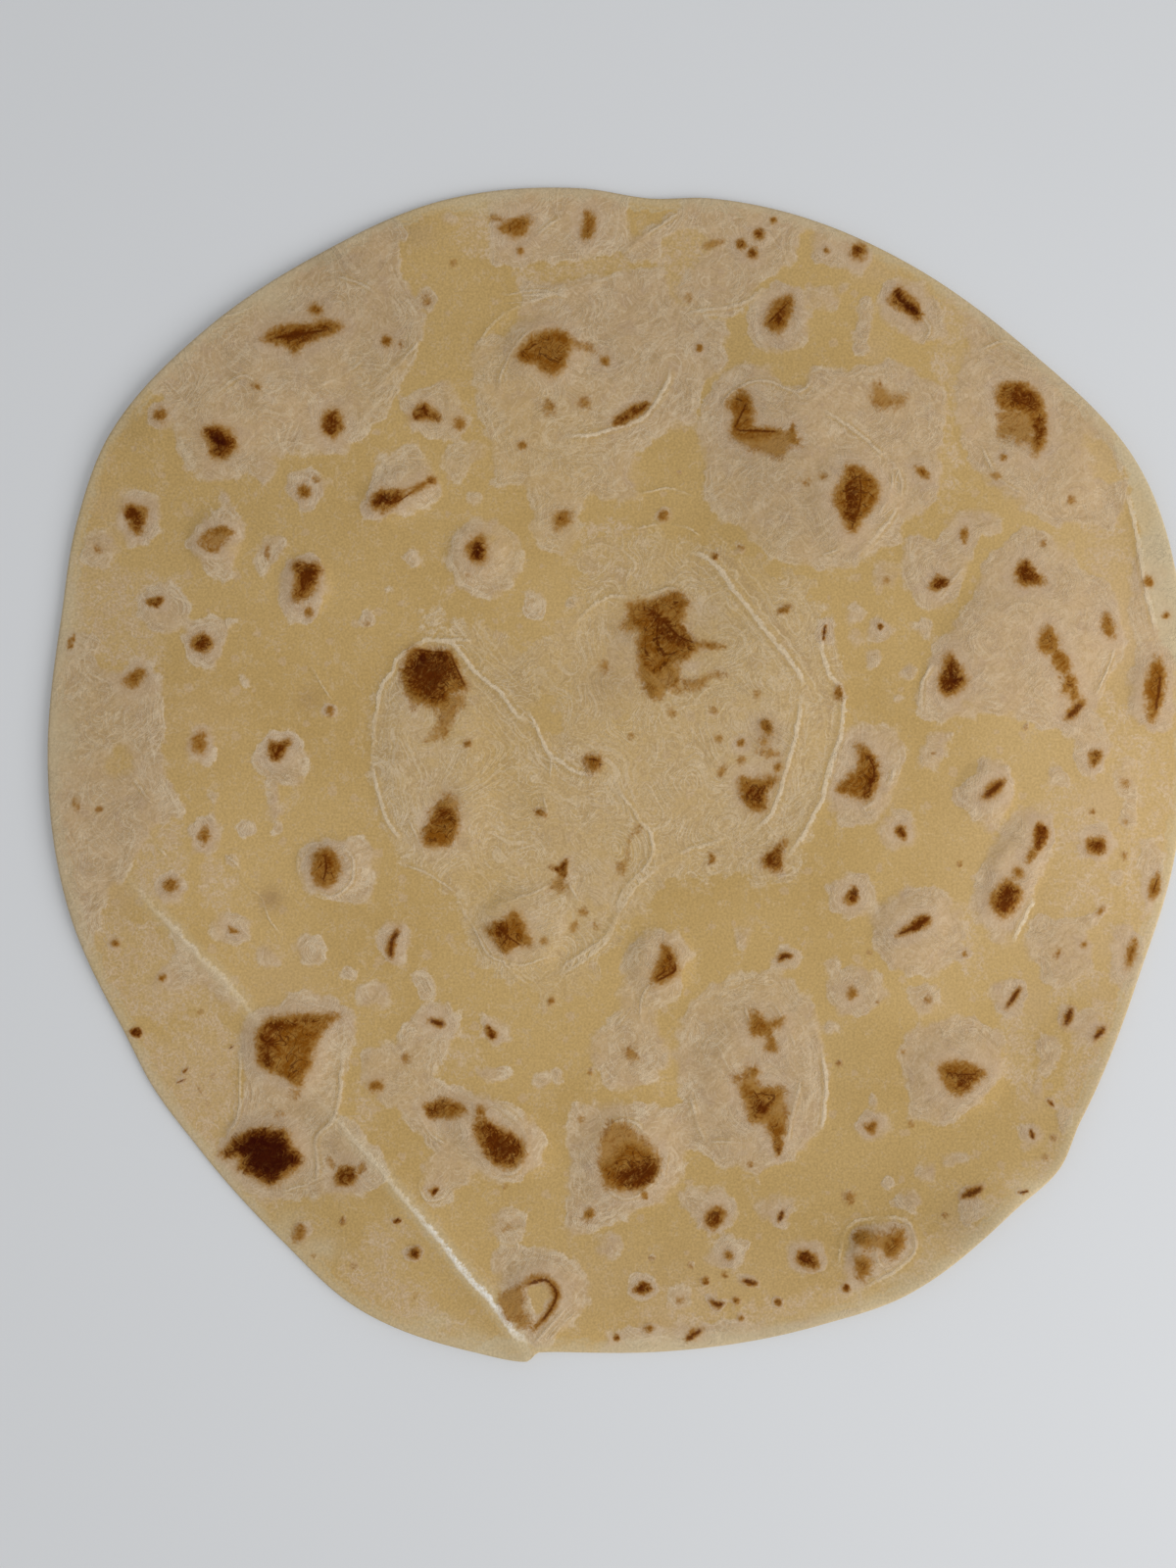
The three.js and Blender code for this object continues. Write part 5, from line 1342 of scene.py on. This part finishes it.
def flecks(cell, fullness, growth):
    """Depth inside flecks scattered one to a cell: only the fullest cells have one."""
    settings, sockets = {"voronoi_dimensions": "2D"}, {"Vector": places, "Scale": 1 / cell}
    distance = dough.node("ShaderNodeTexVoronoi", settings, sockets, out="Distance")
    chance = dough.node("ShaderNodeSeparateColor", {},
                        {0: dough.node("ShaderNodeTexVoronoi", settings, sockets, out="Color")})
    return (chance - fullness) * growth - distance * cell


speckle = noise(0.5, 1, detail=1)
ragged = noise(1.0, 3, detail=2, roughness=0.6)
lobes = noise(3.6, 4, detail=1)
drift = noise(30, 5)
patchy = noise(8, 8)
slant = dough.node("ShaderNodeMapping", {"vector_type": "TEXTURE"},
                   {"Vector": places, "Rotation": (0, 0, 0.7), "Scale": (3.2, 1, 1)})
streaks = noise(1.5, 41, detail=1, distortion=0.8, at=slant)
fray = noise(3.0, 13, detail=2, roughness=0.55, distortion=0.6)
fibre = noise(1.5, 17, detail=2, roughness=0.6, distortion=1.6)
flame = noise(4.5, 23, detail=2, roughness=0.55, distortion=1.0)
print(len(dough.tree.nodes), "nodes so far")

# %% Masks of the pale skin, the film and the flecks
skin_depth = stored("pale")
pale_depth = (skin_depth + lobes * 0.6 + ragged * 0.17 + speckle * 0.08) * (0.75 + patchy * 0.4)
pale = pale_depth.step(-0.3, 0.6)
pale_rim = pale_depth.step(-0.2, 0.3) * (1 - pale_depth.step(0.35, 0.9)) * (patchy + lobes).step(-0.8, 0.9)
fleck = (flecks(5.2, 0.55, 2.6) + ragged * 0.3).step(-0.1, 0.25)
haze = (stored("haze") + lobes * 1.2 + ragged * 0.6).step(-1.5, 1.5)
lit_rim_sheet = (stored("lit_rim_sheet") + lobes * 0.5 + ragged * 0.3).step(-0.4, 0.9)
film = (stored("film") + lobes * 1.4 + ragged * 0.7).step(-0.6, 0.8)
skin_or_film = pale.larger(film)
frost = stored("frost")
across = dough.node("ShaderNodeSeparateXYZ", {}, {0: places}, out="X")
leftward = 1 - across.step(-40, 40)
print(len(dough.tree.nodes), "nodes so far")

# %% Wrinkles of the skin: crumpled in some places, in longer creases in others
rucks = noise(3.0, 6, detail=2, distortion=1.8)
clouds = noise(3.8, 21, detail=3, roughness=0.62)
creases = noise(6.0, 9, detail=1, distortion=3.0)
crumpled_here = patchy.step(-0.9, 0.5)
creased_here = 1 - patchy.step(-0.3, 0.8)
# the lines below are painted as highlights on the creases' crests, and the shade masks paint shade on one
# side of them
crumpled = threads(rucks, 0.24) * crumpled_here
wrinkled = threads(creases, 0.13) * creased_here
ruck_shade = (rucks - 0.1).step(0.1, 0.9) * crumpled_here
wrinkle_shade = (creases - 0.05).step(0.05, 0.5) * creased_here * (1 - creases.step(0.5, 1.0))
crease_shade = ruck_shade.larger(wrinkle_shade)
squiggle = threads(rucks, 0.3) * (clouds + lobes * 0.5 + haze * 0.5 + leftward * 0.4).step(0.1, 0.9)
print(len(dough.tree.nodes), "nodes so far")

# %% Wrinkles that follow the patches' edges and the threads
def wrinkles(depth, spacing, seed):
    """Noise drawn out along an edge: one size across the level lines of depth, longer along them."""
    run = dough.node("ShaderNodeVectorMath", {"operation": "DOT_PRODUCT"},
                     {0: places, 1: (0.13, 0.09, 0)}, out="Value")
    at = dough.node("ShaderNodeCombineXYZ", {}, {"X": depth, "Y": run * spacing})
    return noise(spacing, seed, detail=1, distortion=0.5, at=at)


def hollows(raw):
    """The shaded side of the lines that noise draws."""
    return (raw - 0.1).step(0.2, 1.2)


beside = stored("beside")
main_thread = 1 - beside.step(0.6, 1.6)
near_thread = beside.step(0.8, 2.2) * (1 - beside.step(2.0, 11.0))
skin_wrinkles = wrinkles(skin_depth + lobes * 0.35, 1.1, 31)
thread_wrinkles = wrinkles(beside + lobes * 0.5, 1.2, 33)
flow = wrinkles(noise(19, 35) * 11, 1.3, 37)
along_skin = (1 - skin_depth.step(2.5, 6.0)) * pale * (patchy + lobes * 0.8).step(-0.9, 0.7)
along_thread = near_thread * skin_or_film
flow_here = patchy.step(-1.0, 0.5) * (pale * 0.75).larger(film)
flow_lines = threads(flow, 0.3) * flow_here
edge_lines = (threads(skin_wrinkles, 0.26) * along_skin).larger(threads(thread_wrinkles, 0.26) * along_thread)
edge_shade = (hollows(skin_wrinkles) * along_skin).larger(hollows(thread_wrinkles) * along_thread)
line_shade = edge_shade.larger(hollows(flow) * flow_here * 0.9)
print(len(dough.tree.nodes), "nodes so far")

# %% Masks of the threads, the fold and the rim
thread_off = abs(stored("thread") + lobes * 0.35 + ragged * 0.3)
thread_here = stored("thread_strength") * (patchy + main_thread).step(-1.2, 0.6)
thread = (1 - thread_off.step(0.5, 1.15)) * thread_here
# painted shade along both sides of each thread
thread_shade = (1 - abs(thread_off - 1.9).step(0.2, 1.0)) * thread_here
fold_off = abs(stored("fold") + ragged * 0.22 + lobes * 0.15)
fold = (1 - fold_off.step(0.2, 0.9)) * stored("fold_strength") * (0.85 + ragged * 0.25)
fold_band = (1 - (fold_off + ragged * 0.3).step(0.8, 2.8)) * stored("fold_strength")
rim = stored("rim") + lobes * 0.5 + ragged * 0.25
rim_edge = 1 - rim.step(0.3, 2.2)
rim_line = (1 - abs(rim - 1.8).step(0.1, 0.6)) * patchy.step(-0.7, 0.6)
slit = (1 - (abs(stored("slit")) + fibre * 0.3 + speckle * 0.1).step(0.1, 1.0)) * stored("slit_strength")
print(len(dough.tree.nodes), "nodes so far")

# %% Masks of the toasting
toasted, charred = stored("toast"), stored("char")
toast_depth = toasted + fray * 0.32 + fibre * 0.22 + ragged * 0.22
char_depth = charred + fray * 0.32 + fibre * 0.25 + flame * 0.7
hairs = noise(1.1, 43, detail=1, distortion=1.4, at=slant)
caramel = (stored("caramel") + fray * 0.5 + fibre * 0.3 + ragged * 0.25).step(-0.9, 1.3)
browned = caramel * (flame * 0.6 + fibre * 0.5 + hairs * 0.5).step(-0.3, 1.3)
tan = toast_depth.step(-1.0, 0.7)
toast = toast_depth.step(-0.4, 1.5) * (0.76 + fibre * 0.25 + flame * 0.30 + hairs * 0.28).smaller(1.0)
char = char_depth.step(-0.2, 1.9) * (0.80 + fibre * 0.3 + hairs * 0.35).smaller(1.0)
char_core = (char_depth + fibre * 0.9).step(0.7, 3.2)
burn = (stored("burn") + fray * 0.2 + fibre * 0.3 + flame * 0.5).step(-0.4, 3.0)
cracks = threads(noise(4.2, 14, detail=1, distortion=1.6), 0.17) * toast_depth.step(0.4, 1.6)
veins = threads(noise(4.6, 18, detail=1, distortion=2.4), 0.12) * charred.step(-0.2, 0.8)
glow = toasted.step(-2.4, 0.3)
print(len(dough.tree.nodes), "nodes so far")

# %% [markdown]
# The colours are linear reflectances. Wheat dough is a waxy yellow, and a pinkish grey where it is
# frosted. As it browns, blue goes first, then green and last red. A ramp along one value could hold
# the browning, but each layer here has an edge of its own, so each gets its own mask. The layers
# are rows of a list, from the dough up, and one loop mixes them.

# %% The colours of the dough, its skin and its toasting
WAXY = (0.595, 0.398, 0.158)
WAXY_DEEP_AND_SHADE = (0.545, 0.355, 0.130)
FILMY = (0.612, 0.425, 0.203)
FROSTED = (0.60, 0.418, 0.238)
FROST_GREY = (0.52, 0.356, 0.222)
FROST_LIGHT = (0.66, 0.485, 0.30)
CREASE_SHADE = (0.48, 0.32, 0.16)
BRIGHT_SKIN_AND_HIGHLIGHT = (0.76, 0.60, 0.40)
RIM_SKIN_AND_LIGHT = (0.63, 0.51, 0.32)
LILAC = (0.63, 0.465, 0.325)
CREAM = (0.80, 0.66, 0.46)
WHITE_CRUMB = (0.88, 0.83, 0.74)
BLUSH = (0.37, 0.225, 0.105)
CARAMEL = (0.41, 0.205, 0.044)
TOAST = (0.252, 0.084, 0.0050)
DEEP_TOAST = (0.150, 0.0335, 0.0008)
CHAR = (0.085, 0.0145, 0.0006)
BURNT = (0.048, 0.0045, 0.0006)
print("waxy dough", WAXY, "down to burnt", BURNT)

# %% Layers of the waxy dough and its film: a colour and the mask that it is mixed in by
tone_and_painted_shading = stored("tone_and_painted_shading")
warm = stored("warm")
yellower = warm.larger(0)
greyer = (warm * -1).larger(0)
cloudy = (clouds + drift * 0.5).step(0.3, 1.3)
# the paler broad tones, with painted light among them, also take the film's colour
filmed = film.larger(haze * 0.75).larger(cloudy * 0.35).larger(tone_and_painted_shading.step(0.1, 1.2) * 0.5)
layers = [
    (WAXY_DEEP_AND_SHADE, (0.4 + drift * 0.3 + patchy * 0.1).step(0.0, 1.0)),
    (FILMY, filmed * (0.8 + ragged * 0.2) * (1 - yellower * 0.6)),
    (FROSTED, haze * (clouds * 0.8 + ragged * 0.7).step(-0.4, 0.8) * 0.7),
    (FROSTED, fleck * 0.6),
    (FROST_LIGHT, squiggle * (0.4 + haze * 0.45)),
]
print(len(layers), "layers")

# %% Layers of the pale skin, its frost and its creases
frosting = pale.larger(film * (0.22 + frost * 0.5))
near_mark = toasted.step(-4.5, -0.8) * pale.larger(film * frost * 1.4)
calm = 1 - across.step(-10, 90) * 0.45
layers += [
    (FROSTED, pale * (0.85 + ragged * 0.15) * (1 - yellower * 0.4)),
    (FROSTED, greyer * 0.45),
    (FROST_GREY, frosting * (frost * -1.2 - clouds).step(-0.1, 1.3) * 0.65),
    (FROST_LIGHT, frosting * (clouds + frost).step(0.0, 1.4) * 0.7),
    (CREASE_SHADE, crease_shade * (pale * 0.4).larger(film * 0.5)),
    (CREASE_SHADE, line_shade * 0.6),
    (CREASE_SHADE, pale * (streaks * -1).step(0.0, 1.3) * 0.4),
    # paler skin, with painted highlights along the crests of its streaks, creases and edges
    (BRIGHT_SKIN_AND_HIGHLIGHT, pale * streaks.step(0.2, 1.4) * (0.35 + patchy * 0.2) * calm),
    (BRIGHT_SKIN_AND_HIGHLIGHT, crumpled.larger(wrinkled) * (pale * 0.42).larger(film * 0.36) * calm),
    (BRIGHT_SKIN_AND_HIGHLIGHT, edge_lines.larger(flow_lines * 0.8) * 0.6 * calm),
    (BRIGHT_SKIN_AND_HIGHLIGHT, pale_rim * 0.28 * calm),
    (LILAC, near_mark * 0.35 * (1 - yellower * 0.4)),
    (WAXY, skin_or_film * yellower * 0.24),
]
print(len(layers), "layers")

# %% Layers of the threads, the rim and the fold
layers += [
    # painted shade beside each thread, in the deeper waxy colour
    (WAXY_DEEP_AND_SHADE, thread_shade * 0.45),
    # a painted highlight along each thread's crest, over its paler skin
    (BRIGHT_SKIN_AND_HIGHLIGHT, thread * (0.5 + main_thread * 0.35 + ragged * 0.2)),
    # painted light on the curled rim and its turned-up skin; the same colour also gives the paler edge and
    # the band along the fold
    (RIM_SKIN_AND_LIGHT, lit_rim_sheet * (0.72 + patchy * 0.15)),
    (RIM_SKIN_AND_LIGHT, stored("painted_rim_light") * (0.55 + lobes * 0.1)),
    (RIM_SKIN_AND_LIGHT, (rim_edge * 0.6).larger(rim_line * 0.5)),
    (RIM_SKIN_AND_LIGHT, fold_band * 0.5),
    (CREAM, fold * 0.85),
    (WHITE_CRUMB, fold * stored("crumb") * (0.9 + ragged * 0.3)),
]
print(len(layers), "layers")

# %% Layers of the toasting, from a blush to nearly black
layers += [
    (BLUSH, (stored("blush") * 0.36).smaller(0.75)),
    (CARAMEL, (glow * (0.2 + fibre * 0.1)).larger(caramel * 0.9)),
    (CARAMEL, tan),
    (TOAST, toast.larger(browned * 0.6)),
    (DEEP_TOAST, char),
    (CHAR, (char_core * 0.6).larger(cracks * 0.7).larger(veins * 0.8)),
    (DEEP_TOAST, slit * 0.75),
    (CHAR, slit.step(0.5, 1.0) * 0.5),
    (BURNT, burn * (0.85 + fibre * 0.15 + flame * 0.15)),
]
print(len(layers), "layers")

# %% Mix the layers over the waxy dough, then lighten and darken the whole
colour = WAXY
for layer, mask in layers:
    colour = dough.mix(colour, layer, mask)
# the broad tones, with their painted light and shade, lighten and darken the colour here
lightness = 0.970 + speckle * (0.08 - frosting * 0.03) + ragged * 0.03 + tone_and_painted_shading * 0.09
colour = dough.node("ShaderNodeVectorMath", {"operation": "SCALE"}, {0: colour, "Scale": lightness})
print(len(dough.tree.nodes), "nodes so far")

# %% Bump, roughness and the surface
bump_height = ((crumpled + flow_lines) * (pale + film * 0.6) * 0.06 + ragged * 0.012 + pale * 0.03
               + thread * 0.10 + fold * 0.16)
bump = dough.node("ShaderNodeBump", {}, {"Strength": 0.8, "Distance": 0.001, "Height": bump_height},
                  out="Normal")
roughness = 0.66 + pale * 0.08 - toast * 0.06
surface = dough.node("ShaderNodeBsdfPrincipled", {},
                     {"Base Color": colour, "Roughness": roughness, "Normal": bump,
                      "Specular IOR Level": 0.03}, out="BSDF")
dough.node("ShaderNodeOutputMaterial", {}, {"Surface": surface})
tortilla.data.materials.append(dough.material)
print(len(dough.tree.nodes), "nodes in the dough's finish")

# %% [markdown]
# ## The floor, the light and the camera
#
# The round lies on a plain pale floor. A single small lamp would cast a hard shadow from every
# crease. The daylight here is soft: most of it comes from an even sky, and one window on the right
# makes that side a little brighter and leaves a faint shadow along the left rim. The camera looks
# straight down.

# %% A plain pale floor
FLOOR_HALF = 30.0
PAPER_LIGHT, PAPER_SHADE = (0.80, 0.81, 0.825), (0.775, 0.785, 0.80)

floor_mesh = bpy.data.meshes.new("floor")
floor_corners = [(-FLOOR_HALF, -FLOOR_HALF, 0), (FLOOR_HALF, -FLOOR_HALF, 0),
                 (FLOOR_HALF, FLOOR_HALF, 0), (-FLOOR_HALF, FLOOR_HALF, 0)]
floor_mesh.from_pydata(floor_corners, [], [(0, 1, 2, 3)])
floor = bpy.data.objects.new("floor", floor_mesh)
bpy.context.collection.objects.link(floor)
paper = Finish("pale_floor")
paper_place = paper.node("ShaderNodeTexCoord", {}, {}, out="Object")
mottle = paper.node("ShaderNodeTexNoise", {}, {"Vector": paper_place, "Scale": 9.0, "Detail": 2.0})
paper_colour = paper.mix(PAPER_SHADE, PAPER_LIGHT, mottle)
paper_surface = paper.node("ShaderNodeBsdfPrincipled", {},
                           {"Base Color": paper_colour, "Roughness": 0.85, "Specular IOR Level": 0.1},
                           out="BSDF")
paper.node("ShaderNodeOutputMaterial", {}, {"Surface": paper_surface})
floor_mesh.materials.append(paper.material)
print("floor", 2 * FLOOR_HALF, "m across")

# %% Soft daylight: a bright even sky and one window
SKY_COLOUR = (0.97, 0.985, 1.0, 1)
SKY_STRENGTH = 0.50
WINDOW_PLACE = Vector((0.8, -0.36, 0.62))
WINDOW_AIM = Vector((0.1, -0.04, 0))
WINDOW_SIZE = 0.7
WINDOW_SPREAD = 120
WINDOW_POWER = 2.90

world = bpy.data.worlds.new("daylight")
bpy.context.scene.world = world
world.use_nodes = True
world.node_tree.nodes["Background"].inputs["Color"].default_value = SKY_COLOUR
world.node_tree.nodes["Background"].inputs["Strength"].default_value = SKY_STRENGTH

window = bpy.data.lights.new("window_right", "AREA")
window.shape, window.size, window.energy = "SQUARE", WINDOW_SIZE, WINDOW_POWER
window.spread = math.radians(WINDOW_SPREAD)
window_object = bpy.data.objects.new("window_right", window)
window_object.location = WINDOW_PLACE
window_object.rotation_euler = (WINDOW_AIM - WINDOW_PLACE).to_track_quat("-Z", "Y").to_euler()
bpy.context.collection.objects.link(window_object)
print("window of", WINDOW_SIZE, "m, spread", WINDOW_SPREAD, "degrees,", WINDOW_POWER, "W")

# %% The camera, straight above
CAMERA_PLACE = (-0.0067, -0.0023, 0.258)
LENS, SENSOR_WIDTH = 27.04, 36.0
NEAREST = 0.01

camera = bpy.data.cameras.new("overhead_view")
camera.lens, camera.sensor_width, camera.clip_start = LENS, SENSOR_WIDTH, NEAREST
camera_object = bpy.data.objects.new("overhead_view", camera)
camera_object.location = CAMERA_PLACE
bpy.context.collection.objects.link(camera_object)
bpy.context.scene.camera = camera_object
bpy.context.scene.view_settings.view_transform = "Standard"
print("camera", round(CAMERA_PLACE[2] * 1000), "mm above the table")
